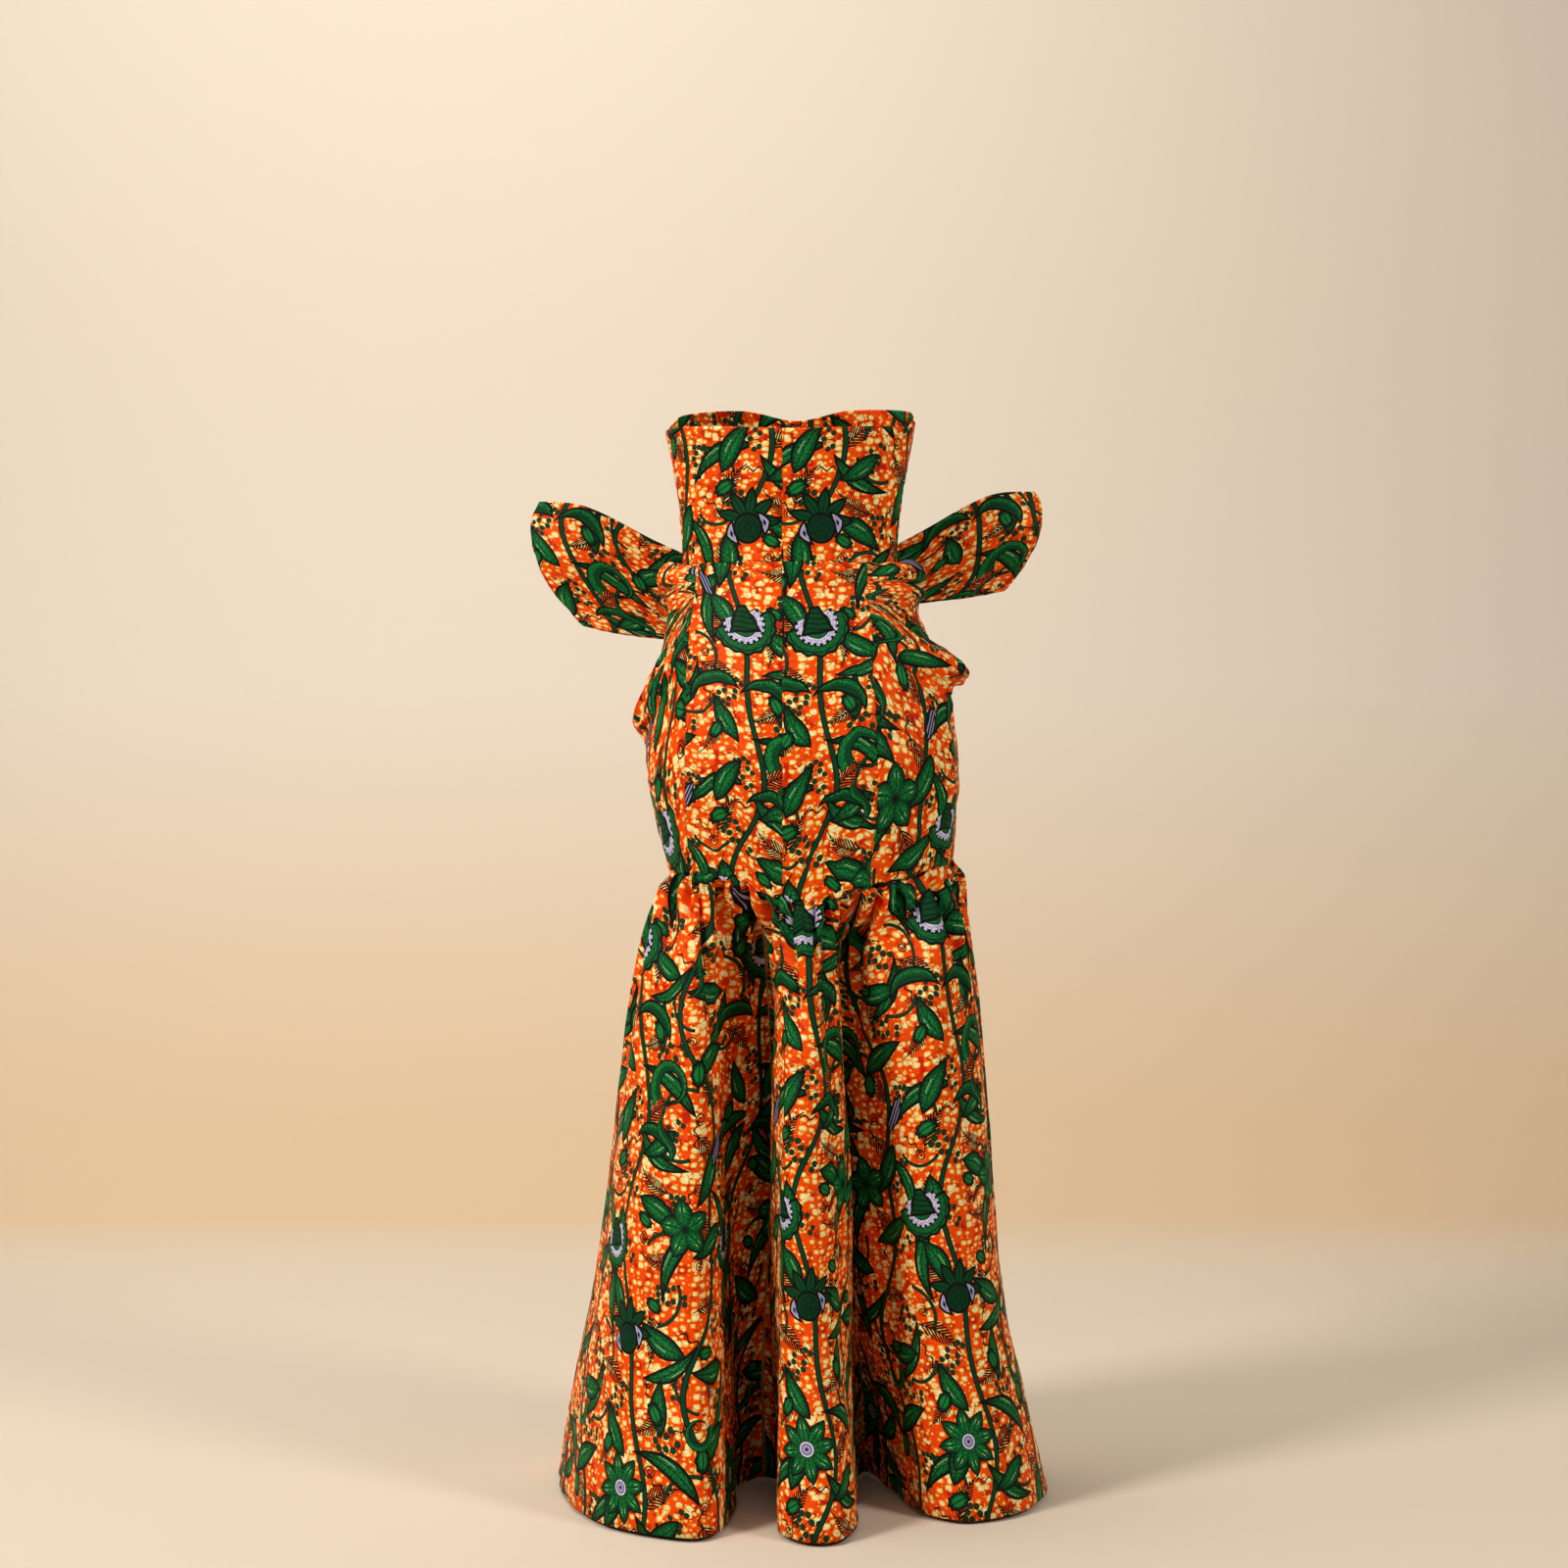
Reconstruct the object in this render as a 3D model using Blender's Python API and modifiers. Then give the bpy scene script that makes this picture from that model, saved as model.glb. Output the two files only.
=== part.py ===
"""A strapless floor-length gown in wax-print cotton, as worn: a fitted bodice and hip skirt, a draped
cowl on each hip, a stiff bow at the front waist and a gathered flounce in deep folds.
Metres, +Z up. The origin is on the body's axis at the waist seam, the back faces -Y, and the
wearer's right is +X. Angles are in degrees round the axis: 0 is the back, 90 the wearer's right."""

import math

import bmesh
import bpy
from mathutils import Vector

COLLECTION = "strapless_ankara_dress"

WALL = 0.0016  # the printed cotton with its seam allowances
SEAM_GAP = 0.0003
OPEN_SEAM_GAP = 0.0006  # where folded walls lean together, so that the gap is SEAM_GAP on the inside
BODY_RADIUS = 0.13  # of a mean level, to turn a seam's gap into an angle
BACK_TOP = 0.150
HEM = -1.073
CENTRE_BACK_X = -0.009  # the centre back seam, for the wearer's hips are a little turned

# The body that the cloth is fitted to, a row for each level
BODY_COLUMNS = ("height", "centre_x", "half_width", "back", "front", "squareness")
BODY = (
    (-0.400, 0.025, 0.164, 0.112, 0.096, 2.15),
    (-0.360, 0.025, 0.166, 0.115, 0.098, 2.15),
    (-0.300, 0.019, 0.176, 0.127, 0.101, 2.15),
    (-0.244, 0.016, 0.183, 0.134, 0.103, 2.15),
    (-0.180, 0.014, 0.177, 0.128, 0.103, 2.15),
    (-0.130, 0.013, 0.170, 0.117, 0.101, 2.15),
    (-0.080, 0.007, 0.154, 0.103, 0.096, 2.10),
    (-0.040, 0.002, 0.137, 0.092, 0.091, 2.05),
    (0.000, 0.000, 0.126, 0.085, 0.087, 2.05),
    (0.045, 0.000, 0.128, 0.086, 0.094, 2.10),
    (0.090, 0.000, 0.133, 0.091, 0.108, 2.15),
    (0.152, 0.000, 0.1445, 0.099, 0.116, 2.20),
    (0.196, -0.002, 0.151, 0.103, 0.108, 2.20),
)

# Bust cups, raised over the front of the body
CUP_RISE, CUP_ANGLE, CUP_HEIGHT = 0.020, 34.0, 0.118
CUP_SPREAD, CUP_TALL = 21.0, 0.048

# The bodice's top edge round the body, and the seam where the flounce is gathered on
TOP_EDGE_COLUMNS = ("angle", "height")
TOP_EDGE = (
    (-98.0, 0.1620),
    (-62.0, 0.1560),
    (-30.0, 0.1520),
    (0.0, BACK_TOP),
    (30.0, 0.1520),
    (58.0, 0.1560),
    (82.0, 0.1620),
    (104.0, 0.1860),
    (142.0, 0.1960),
    (175.0, 0.1850),
    (208.0, 0.1960),
    (242.0, 0.1860),
)
FLOUNCE_SEAM_COLUMNS = ("angle", "height")
FLOUNCE_SEAM = (
    (-90.0, -0.359),
    (-60.0, -0.357),
    (-35.0, -0.368),
    (-20.0, -0.385),
    (-9.0, -0.393),
    (6.0, -0.386),
    (25.0, -0.377),
    (45.0, -0.371),
    (70.0, -0.352),
    (95.0, -0.345),
    (180.0, -0.352),
)

# The hem in plan: lobes stand out and valleys run in, a row for each turn
HEM_COLUMNS = ("x", "y")
BACK_HEM = (
    (-0.272, 0.095),  # left side seam
    (-0.268, -0.010),
    (-0.248, -0.110),
    (-0.205, -0.192),
    (-0.146, -0.238),
    (-0.100, -0.250),  # left lobe
    (-0.078, -0.225),
    (-0.064, -0.130),
    (-0.062, -0.015),
    (-0.038, 0.022),  # first valley
    (-0.014, -0.015),
    (-0.014, -0.130),
    (-0.011, -0.225),
    (0.010, -0.262),
    (0.034, -0.270),  # centre lobe
    (0.058, -0.256),
    (0.072, -0.203),
    (0.078, -0.090),
    (0.080, 0.020),
    (0.094, 0.050),  # second valley
    (0.112, 0.010),
    (0.128, -0.080),
    (0.156, -0.152),
    (0.200, -0.178),  # right lobe
    (0.255, -0.145),
    (0.290, -0.075),
    (0.299, 0.000),  # right side seam
)
FRONT_HEM = (
    (0.286, 0.085),
    (0.248, 0.165),
    (0.196, 0.198),
    (0.166, 0.172),
    (0.152, 0.112),
    (0.134, 0.088),
    (0.116, 0.118),
    (0.100, 0.190),
    (0.056, 0.238),
    (-0.004, 0.246),
    (-0.060, 0.226),
    (-0.082, 0.160),
    (-0.092, 0.092),
    (-0.110, 0.072),
    (-0.128, 0.104),
    (-0.142, 0.172),
    (-0.184, 0.208),
    (-0.238, 0.180),
)
SIDE_TURN = 90.0  # from the centre back seam to each side seam
HEM_STEPS = 14  # between two turns of the hem
HALF_FLOUNCE_SEAM = 0.43  # the length of each half of the flounce's gathered seam

# How far each level of the flounce has gone from its seam to the hem, on each side
FLARE_COLUMNS = ("depth", "left", "right")
FLARE = (
    (0.00, 0.00, 0.00),
    (0.08, 0.20, 0.18),
    (0.19, 0.35, 0.30),
    (0.32, 0.45, 0.38),
    (0.50, 0.56, 0.47),
    (0.70, 0.71, 0.59),
    (0.85, 0.87, 0.79),
    (1.00, 1.00, 1.00),
)
FLARE_BLEND_WIDTH = 0.24  # over which the left side's flare turns into the right side's
FLARE_EASE = 1.7  # sets the flounce's rows closer together under its seam

# Gathers along the flounce seam: their count in each half, their rise and how far down they reach
BACK_GATHERS, FRONT_GATHERS = 21, 19
GATHER_RISE, GATHER_DEPTH = 0.0072, 0.11

# The hip skirt's long seams: how far each lies from the centre back or the centre front
PRINCESS_COLUMNS = ("height", "from_back", "from_front")
PRINCESS = (
    (-0.400, 50.0, 46.0),
    (-0.244, 45.0, 44.0),
    (-0.140, 48.0, 46.0),
    (-0.060, 56.0, 49.0),
    (0.000, 62.0, 51.0),
)

# The cowl over each hip, from the waist down: how far each fold stands out at the side, its level
# there, and the level where it is caught into the long seams. The wearer's left cowl hangs lower.
COWL_COLUMNS = ("share", "stand_off", "side_level", "caught_level")
COWLS = {
    "right": (
        (0.00, 0.000, 0.000, 0.000),
        (0.09, 0.019, 0.007, -0.007),
        (0.17, 0.032, -0.004, -0.013),  # puff under the waist
        (0.24, 0.029, -0.017, -0.019),
        (0.31, 0.012, -0.021, -0.024),
        (0.37, 0.022, -0.026, -0.029),
        (0.44, 0.023, -0.036, -0.034),  # middle fold
        (0.51, 0.010, -0.044, -0.039),
        (0.59, 0.000, -0.070, -0.044),
        (0.67, 0.001, -0.106, -0.049),  # hollow behind the rim
        (0.73, 0.016, -0.108, -0.055),
        (0.80, 0.026, -0.118, -0.062),
        (0.87, 0.026, -0.132, -0.070),  # rim of the lowest fold
        (0.93, 0.010, -0.142, -0.082),
        (1.00, 0.000, -0.152, -0.098),
    ),
    "left": (
        (0.00, 0.000, 0.000, 0.000),
        (0.09, 0.019, 0.007, -0.007),
        (0.17, 0.031, -0.006, -0.013),  # puff under the waist
        (0.24, 0.027, -0.022, -0.018),
        (0.31, 0.011, -0.026, -0.023),
        (0.37, 0.019, -0.032, -0.027),
        (0.44, 0.020, -0.044, -0.032),  # middle fold
        (0.51, 0.008, -0.054, -0.036),
        (0.59, 0.000, -0.086, -0.040),
        (0.67, -0.006, -0.140, -0.044),  # hollow behind the rim
        (0.73, 0.001, -0.154, -0.049),
        (0.80, 0.014, -0.168, -0.055),
        (0.87, 0.021, -0.188, -0.063),  # rim of the lowest fold
        (0.93, 0.012, -0.204, -0.076),
        (1.00, 0.001, -0.216, -0.094),
    ),
}
COWL_SAG = {"left": 1.1, "right": 1.7}  # how sharply a fold drops between the seams and the side
COWL_ROUNDNESS = 1.2
COWL_ROWS = 0.67  # the share of the side panel's rows that make the cowl
PANEL_WIDTH = 0.17

# The bow: one loop of stiffened cloth each side of a knot. A loop's plan runs out along its back
# layer and in along its front layer; off_middle is for a loop of WING_LENGTH.
KNOT_LEVEL = -0.050
KNOT_HALF_WIDTH, KNOT_HALF_HEIGHT, KNOT_HALF_DEPTH = 0.017, 0.0234, 0.0130
KNOT_SQUARENESS = 5.0
WING_PLAN_COLUMNS = ("reach_share", "off_middle")
WING_PLAN = (
    (0.000, -0.0040),
    (0.060, -0.0048),
    (0.200, -0.0150),
    (0.500, -0.0260),
    (0.800, -0.0250),
    (0.960, -0.0130),
    (1.000, 0.0000),
    (0.960, 0.0130),
    (0.800, 0.0240),
    (0.500, 0.0250),
    (0.200, 0.0150),
    (0.060, 0.0048),
    (0.000, 0.0040),
)
WING_EDGE_COLUMNS = ("reach_share", "top", "bottom")
WING_EDGES = {
    "left": (
        (0.00, -0.0292, -0.0708),
        (0.03, -0.0292, -0.0708),
        (0.07, -0.0288, -0.0712),
        (0.22, -0.0030, -0.0780),
        (0.52, 0.0370, -0.0800),
        (0.80, 0.0780, -0.0740),
        (1.00, 0.0860, -0.0650),
    ),
    "right": (
        (0.00, -0.0292, -0.0708),
        (0.03, -0.0292, -0.0708),
        (0.07, -0.0288, -0.0708),
        (0.22, 0.0010, -0.0600),
        (0.52, 0.0480, -0.0390),
        (0.80, 0.0910, -0.0300),
        (1.00, 0.0980, -0.0230),
    ),
}
WING_REACH_COLUMNS = ("share_down", "reach")
WING_REACH = {
    "left": ((0.00, 0.304), (0.15, 0.312), (0.40, 0.308), (0.70, 0.289), (1.00, 0.250)),
    "right": ((0.00, 0.297), (0.12, 0.304), (0.40, 0.302), (0.70, 0.287), (1.00, 0.260)),
}
WING_ROOT, WING_LENGTH = 0.006, 0.3
WING_PLEATS, WING_PLEAT_RISE, WING_PLEAT_REACH = 5, 0.0012, 0.30
WING_WAVE, WING_SWEEP = 0.007, 0.014

# The concealed zip inside the centre back seam
ZIP_LOWEST, ZIP_HALF_WIDTH = -0.130, 0.012
ZIP_TAPE, ZIP_BEHIND_CLOTH, ZIP_BELOW_TOP = 0.0010, 0.0009, 0.003
ZIP_COIL_HALF_WIDTH, ZIP_COIL_RISE = 0.0025, 0.0014
SLIDER_SIZE, SLIDER_BELOW_TOP, SLIDER_CLEARANCE = (0.0080, 0.0034, 0.0110), 0.012, 0.0010

PRINT_ORANGE = (0.86, 0.20, 0.03, 1.0)
ZIP_BROWN = (0.05, 0.03, 0.02, 1.0)
SLIDER_BRASS = (0.35, 0.25, 0.12, 1.0)


def smooth(rows, key, column):
    """The column's value at key, on a smooth curve through the rows, whose first column only rises."""
    last = len(rows) - 2
    i = 0
    while i < last and key > rows[i + 1][0]:
        i += 1
    before, low, high = rows[max(i - 1, 0)], rows[i], rows[i + 1]
    after = rows[min(i + 2, len(rows) - 1)]
    span = high[0] - low[0]
    t = min(max((key - low[0]) / span, 0.0), 1.0)
    slope_low = (high[column] - before[column]) / (high[0] - before[0]) * span
    slope_high = (after[column] - low[column]) / (after[0] - low[0]) * span
    return (
        (2 * t**3 - 3 * t**2 + 1) * low[column]
        + (t**3 - 2 * t**2 + t) * slope_low
        + (3 * t**2 - 2 * t**3) * high[column]
        + (t**3 - t**2) * slope_high
    )


def round_body(rows, angle):
    """The height at an angle, on a table that goes once round the body."""
    turn = tuple((row[0] + 360.0, row[1]) for row in rows)
    back = tuple((row[0] - 360.0, row[1]) for row in rows)
    return smooth(back + rows + turn, angle, 1)


def skin(angle, height, stand_off=0.0):
    """The point of the fitted cloth at an angle and a height, moved out by stand_off."""
    centre_x, half_width, back, front, squareness = (smooth(BODY, height, c) for c in range(1, 6))
    turn = math.radians(angle)
    across, along = math.sin(turn), math.cos(turn)
    depth = back if along > 0 else front
    flat = abs(across / half_width) ** squareness + abs(along / depth) ** squareness
    radius = flat ** (-1.0 / squareness)
    from_front = (angle - 180.0 + 180.0) % 360.0 - 180.0
    cup = sum(
        math.exp(-(((from_front - side * CUP_ANGLE) / CUP_SPREAD) ** 2)) for side in (-1, 1)
    )
    radius += CUP_RISE * cup * math.exp(-(((height - CUP_HEIGHT) / CUP_TALL) ** 2))
    radius += stand_off
    return Vector((centre_x + radius * across, -radius * along, height))


def centre_back_angle(height):
    """Where the centre back seam lies at a height: it hangs straight while the hips lean to the right."""
    centre_x, half_width = smooth(BODY, height, 1), smooth(BODY, height, 2)
    return math.degrees(math.atan2(CENTRE_BACK_X - centre_x, smooth(BODY, height, 3)))


def curve_length(points):
    return sum((b - a).length for a, b in zip(points, points[1:]))


def through(points, closed=False, steps=14):
    """A smooth line through the points, as many short steps between each two."""
    count = len(points)
    line = []
    for i in range(count if closed else count - 1):
        if closed:
            four = [points[(i + k) % count] for k in (-1, 0, 1, 2)]
        else:
            four = [points[min(max(i + k, 0), count - 1)] for k in (-1, 0, 1, 2)]
        a, b, c, d = four
        gap_in, gap, gap_out = (b - a).length, (c - b).length, (d - c).length
        leave = (c - a) * (gap / max(gap_in + gap, 1e-9))
        arrive = (d - b) * (gap / max(gap + gap_out, 1e-9))
        for step in range(steps):
            t = step / steps
            line.append(
                (2 * t**3 - 3 * t**2 + 1) * b
                + (t**3 - 2 * t**2 + t) * leave
                + (3 * t**2 - 2 * t**3) * c
                + (t**3 - t**2) * arrive
            )
    line.append(points[0].copy() if closed else points[-1].copy())
    return line


def walker(line):
    """A function that gives the point at a share of the line's length."""
    lengths = [0.0]
    for a, b in zip(line, line[1:]):
        lengths.append(lengths[-1] + (b - a).length)

    def at(share):
        goal = min(max(share, 0.0), 1.0) * lengths[-1]
        low, high = 0, len(lengths) - 1
        while high - low > 1:
            middle = (low + high) // 2
            if lengths[middle] <= goal:
                low = middle
            else:
                high = middle
        span = max(lengths[high] - lengths[low], 1e-12)
        return line[low].lerp(line[high], (goal - lengths[low]) / span)

    return at


def eased(share, amount=0.7):
    """Shares set closer together near both ends, so that a panel's walls meet its neighbours squarely."""
    return (1.0 - amount) * share + 0.5 * amount * (1.0 - math.cos(math.pi * share))


def short_of_seam(share, length, gap=SEAM_GAP):
    """The share of a panel's width that leaves half a seam gap at each end."""
    inset = 0.5 * gap / length
    return inset + (1.0 - 2.0 * inset) * share


def make_material(name, colour, roughness, metallic=0.0):
    material = bpy.data.materials.new(name)
    material.use_nodes = True
    shader = material.node_tree.nodes["Principled BSDF"]
    shader.inputs["Base Color"].default_value = colour
    shader.inputs["Roughness"].default_value = roughness
    shader.inputs["Metallic"].default_value = metallic
    return material


def add_object(name, mesh_builder, material, wall=WALL):
    """The named piece from an open surface, given its wall towards its inner side."""
    mesh = bpy.data.meshes.new(name)
    mesh_builder.to_mesh(mesh)
    mesh_builder.free()
    mesh.shade_smooth()
    mesh.materials.append(material)
    piece = bpy.data.objects.new(name, mesh)
    bpy.data.collections[COLLECTION].objects.link(piece)
    if wall:
        solidify = piece.modifiers.new("wall", "SOLIDIFY")
        solidify.thickness = wall
        solidify.offset = -1.0
    return piece


def cloth_panel(name, columns, rows, place, material, wall=WALL, joined=False):
    """A panel of cloth: a grid whose every point goes where place(across, down) says."""
    grid = bmesh.new()
    bmesh.ops.create_grid(grid, x_segments=columns, y_segments=rows, size=0.5)
    for vert in grid.verts:
        vert.co = place(vert.co.x + 0.5, 0.5 - vert.co.y)
    if joined:
        bmesh.ops.remove_doubles(grid, verts=grid.verts, dist=0.00005)
    return add_object(name, grid, material, wall)


def fitted_panel(name, columns, rows, sides, top, bottom, material, gap=SEAM_GAP):
    """A panel that lies on the body between two edges and two seams, whose angles sides(height) gives."""

    def place(across, down):
        height = 0.5 * (top(0.0) + bottom(0.0))
        for _ in range(4):
            start, end = sides(height)
            width = BODY_RADIUS * math.radians(end - start)
            angle = start + (end - start) * short_of_seam(eased(across), width, gap)
            high, low = top(angle) - 0.5 * gap, bottom(angle) + 0.5 * gap
            height = high + (low - high) * down
        return skin(angle, height)

    return cloth_panel(name, columns, rows, place, material)


def bodice_back(side):
    """The angles of a bodice back's seams: the centre back and one side seam."""

    def sides(height):
        start = centre_back_angle(height)
        return (start, start + SIDE_TURN) if side == "right" else (start - SIDE_TURN, start)

    return sides


def bodice_front(height):
    start = centre_back_angle(height) + SIDE_TURN
    return start, start + 360.0 - 2 * SIDE_TURN


def skirt_back(side):
    """The angles of a skirt back's seams: the centre back and one princess seam."""

    def sides(height):
        start = centre_back_angle(height)
        turn = smooth(PRINCESS, height, 1)
        return (start, start + turn) if side == "right" else (start - turn, start)

    return sides


def skirt_front(height):
    middle, turn = centre_back_angle(height) + 180.0, smooth(PRINCESS, height, 2)
    return middle - turn, middle + turn


def waist(angle):
    return 0.0


def top_edge(angle):
    return round_body(TOP_EDGE, angle)


def flounce_seam(angle):
    return round_body(FLOUNCE_SEAM, angle)


def gather(across, down, count):
    """How far the gathers stand out: uneven ridges, strongest just under the seam and gone further down."""
    drift = 0.55 * math.sin(2 * math.pi * 2.3 * across + 1.1) + 0.3 * math.sin(2 * math.pi * 5.7 * across)
    ridge = 0.5 - 0.5 * math.cos(2 * math.pi * (count * across + drift))
    strength = 0.68 + 0.32 * math.sin(2 * math.pi * 3.4 * across + 2.0)
    reach = GATHER_DEPTH * (1.0 + 0.5 * math.sin(2 * math.pi * 4.1 * across + 0.6))
    swell = (0.12 + 0.88 * min(down / 0.035, 1.0)) * math.exp(-down / reach)
    at_ends = min(1.0, 12.0 * across, 12.0 * (1.0 - across))
    return GATHER_RISE * ridge * strength * swell * at_ends


def flounce_panel(name, columns, rows, start, hem_line, gathers, material):
    """Half of the flounce: gathered to the skirt along its top and free along its hem."""
    hem_at = walker(hem_line)
    hem_length = curve_length(hem_line)

    def place(across, down):
        across, down = eased(across, 0.35), down**FLARE_EASE
        at_seam = short_of_seam(across, HALF_FLOUNCE_SEAM, OPEN_SEAM_GAP)
        at_hem = short_of_seam(across, hem_length, OPEN_SEAM_GAP)
        angle = start + 180.0 * at_seam
        seam_height = flounce_seam(angle) - OPEN_SEAM_GAP
        upper = skin(angle, seam_height, gather(across, down, gathers))
        lower = hem_at(at_hem)
        rightness = min(max(0.5 + lower.x / FLARE_BLEND_WIDTH, 0.0), 1.0)
        rightness = rightness * rightness * (3.0 - 2.0 * rightness)
        left, right = smooth(FLARE, down, 1), smooth(FLARE, down, 2)
        share = left + (right - left) * rightness
        point = upper.lerp(lower, share)
        point.z = seam_height + (HEM - seam_height) * down
        return point

    return cloth_panel(name, columns, rows, place, material)


def side_angle(side, height, from_back):
    """The angle of a point of the side panel, at a share of its width from its back seam."""
    sign = 1.0 if side == "right" else -1.0
    back, front = smooth(PRINCESS, height, 1), 180.0 - smooth(PRINCESS, height, 2)
    return centre_back_angle(height) + sign * (back + (front - back) * from_back)


def cowl_panel(name, side, columns, rows, material):
    """The skirt's side panel: its upper part falls in cowl folds over the hip, its lower part is fitted."""
    cowl = COWLS[side]

    def place(across, down):
        share = short_of_seam(eased(across), PANEL_WIDTH, OPEN_SEAM_GAP)
        from_back = share if side == "right" else 1.0 - share
        hang = math.sin(math.pi * from_back) ** COWL_SAG[side]
        swell = math.sin(math.pi * from_back) ** COWL_ROUNDNESS
        below = max(down - COWL_ROWS, 0.0) / (1.0 - COWL_ROWS)
        stand_off, side_level, caught_level = (
            smooth(cowl, min(down / COWL_ROWS, 1.0), column) for column in (1, 2, 3)
        )
        if stand_off < 0.0:  # a hollow keeps further from the seams
            swell = swell**3
        height = caught_level + (side_level - caught_level) * hang - 0.5 * SEAM_GAP
        end = flounce_seam(side_angle(side, height, from_back)) + 0.5 * OPEN_SEAM_GAP
        height += (end - height) * below
        return skin(side_angle(side, height, from_back), height, stand_off * swell * (1.0 - below))

    return cloth_panel(name, columns, rows, place, material)


def bow_middle():
    """How far forward the bow's middle lies, with the knot resting on the front of the skirt."""
    seats = []
    for share in (0.0, 0.2, 0.4, 0.6, 0.8, 0.95):
        depth = KNOT_HALF_DEPTH * (1.0 - share**KNOT_SQUARENESS) ** (1.0 / KNOT_SQUARENESS)
        seats.append(skin(180.0, KNOT_LEVEL - share * KNOT_HALF_HEIGHT).y + depth)
    return max(seats) + SEAM_GAP


def bow_wing(name, side, material):
    """One loop of the bow: out along its back layer, round the outer fold and in along its front layer."""
    outward = 1.0 if side == "right" else -1.0
    plan_at = walker(through([Vector((row[0] * WING_LENGTH, row[1], 0.0)) for row in WING_PLAN]))
    middle_y = bow_middle()

    def place(across, down):
        along = across if side == "right" else 1.0 - across
        closer_at_folds = math.sin(4 * math.pi * along) / (8 * math.pi)
        plan = plan_at(along - closer_at_folds)
        share = min(max(plan.x / WING_LENGTH, 0.0), 1.0)
        reach = smooth(WING_REACH[side], down, 1)
        top, bottom = smooth(WING_EDGES[side], share, 1), smooth(WING_EDGES[side], share, 2)
        layer = -1.0 if along < 0.5 else 1.0
        near_knot = math.exp(-share / WING_PLEAT_REACH)
        pleat = layer * WING_PLEAT_RISE * near_knot * math.cos(2 * math.pi * WING_PLEATS * down)
        wave = WING_WAVE * share * share * math.sin(2 * math.pi * (1.4 * down + 0.15))
        x = outward * (WING_ROOT + (reach - WING_ROOT) * share)
        y = middle_y + plan.y + pleat + wave - WING_SWEEP * share * share
        return Vector((x, y, top + (bottom - top) * down))

    return cloth_panel(name, 28, 8, place, material)


def bow_knot(name, material):
    """The band round the middle of the bow."""
    middle_y = bow_middle()

    def place(across, down):
        turn = 2 * math.pi * across
        back, up = math.cos(turn), math.sin(turn)
        square = (abs(back) ** KNOT_SQUARENESS + abs(up) ** KNOT_SQUARENESS) ** (-1 / KNOT_SQUARENESS)
        x = KNOT_HALF_WIDTH * (2.0 * down - 1.0) * (1.0 + 0.12 * back)
        y = middle_y - KNOT_HALF_DEPTH * square * back
        return Vector((x, y, KNOT_LEVEL + KNOT_HALF_HEIGHT * square * up))

    return cloth_panel(name, 32, 3, place, material, joined=True)


def zip_strip(name, material):
    """The concealed zip behind the centre back seam: its two tapes and the closed coil between them."""
    inner = WALL + ZIP_BEHIND_CLOTH
    highest = BACK_TOP - ZIP_BELOW_TOP

    def place(across, down):
        height = highest + (ZIP_LOWEST - highest) * down
        from_seam = ZIP_HALF_WIDTH * (2.0 * across - 1.0)
        angle = centre_back_angle(height) + math.degrees(from_seam / smooth(BODY, height, 3))
        on_coil = abs(from_seam) < 1.3 * ZIP_COIL_HALF_WIDTH
        return skin(angle, height, -inner - (ZIP_COIL_RISE if on_coil else 0.0))

    return cloth_panel(name, 8, 9, place, material, wall=ZIP_TAPE)


def zip_slider(name, material):
    """The slider at the top of the closed coil, on the inner side."""
    height = BACK_TOP - SLIDER_BELOW_TOP
    coil_back = WALL + ZIP_BEHIND_CLOTH + ZIP_COIL_RISE + ZIP_TAPE
    behind = coil_back + SLIDER_CLEARANCE + 0.5 * SLIDER_SIZE[1]
    block = bmesh.new()
    bmesh.ops.create_cube(block, size=1.0)
    bmesh.ops.scale(block, verts=block.verts, vec=SLIDER_SIZE)
    piece = add_object(name, block, material, wall=0.0)
    piece.location = skin(centre_back_angle(height), height, -behind)
    bevel = piece.modifiers.new("rounded", "BEVEL")
    bevel.width, bevel.segments = 0.0008, 1
    return piece


def build():
    for old in list(bpy.data.objects):
        bpy.data.objects.remove(old, do_unlink=True)
    collection = bpy.data.collections.new(COLLECTION)
    bpy.context.scene.collection.children.link(collection)
    cotton = make_material("wax_print_cotton", PRINT_ORANGE, 0.62)
    zip_tape = make_material("zip_tape", ZIP_BROWN, 0.7)
    brass = make_material("slider_brass", SLIDER_BRASS, 0.35, 1.0)

    for side in ("left", "right"):
        fitted_panel(f"bodice_back_{side}", 10, 8, bodice_back(side), top_edge, waist, cotton)
        fitted_panel(f"skirt_back_{side}", 10, 16, skirt_back(side), waist, flounce_seam, cotton)
        cowl_panel(f"skirt_side_{side}", side, 12, 30, cotton)
        bow_wing(f"bow_wing_{side}", side, cotton)
    fitted_panel("bodice_front", 22, 8, bodice_front, top_edge, waist, cotton)
    fitted_panel(
        "skirt_front", 16, 16, skirt_front, waist, flounce_seam, cotton, OPEN_SEAM_GAP
    )
    bow_knot("bow_knot", cotton)
    zip_strip("back_zip", zip_tape)
    zip_slider("zip_slider", brass)

    corners = [Vector((x, y, HEM)) for x, y in BACK_HEM + FRONT_HEM]
    hem = through(corners, closed=True, steps=HEM_STEPS)
    turned = (len(BACK_HEM) - 1) * HEM_STEPS
    left_seam = centre_back_angle(FLOUNCE_SEAM[0][1]) - SIDE_TURN
    right_seam = left_seam + 180.0
    flounce_panel("flounce_back", 92, 9, left_seam, hem[: turned + 1], BACK_GATHERS, cotton)
    flounce_panel("flounce_front", 68, 9, right_seam, hem[turned:], FRONT_GATHERS, cotton)


build()
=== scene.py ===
import math

import bmesh
import bpy
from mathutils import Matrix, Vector, noise


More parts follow.
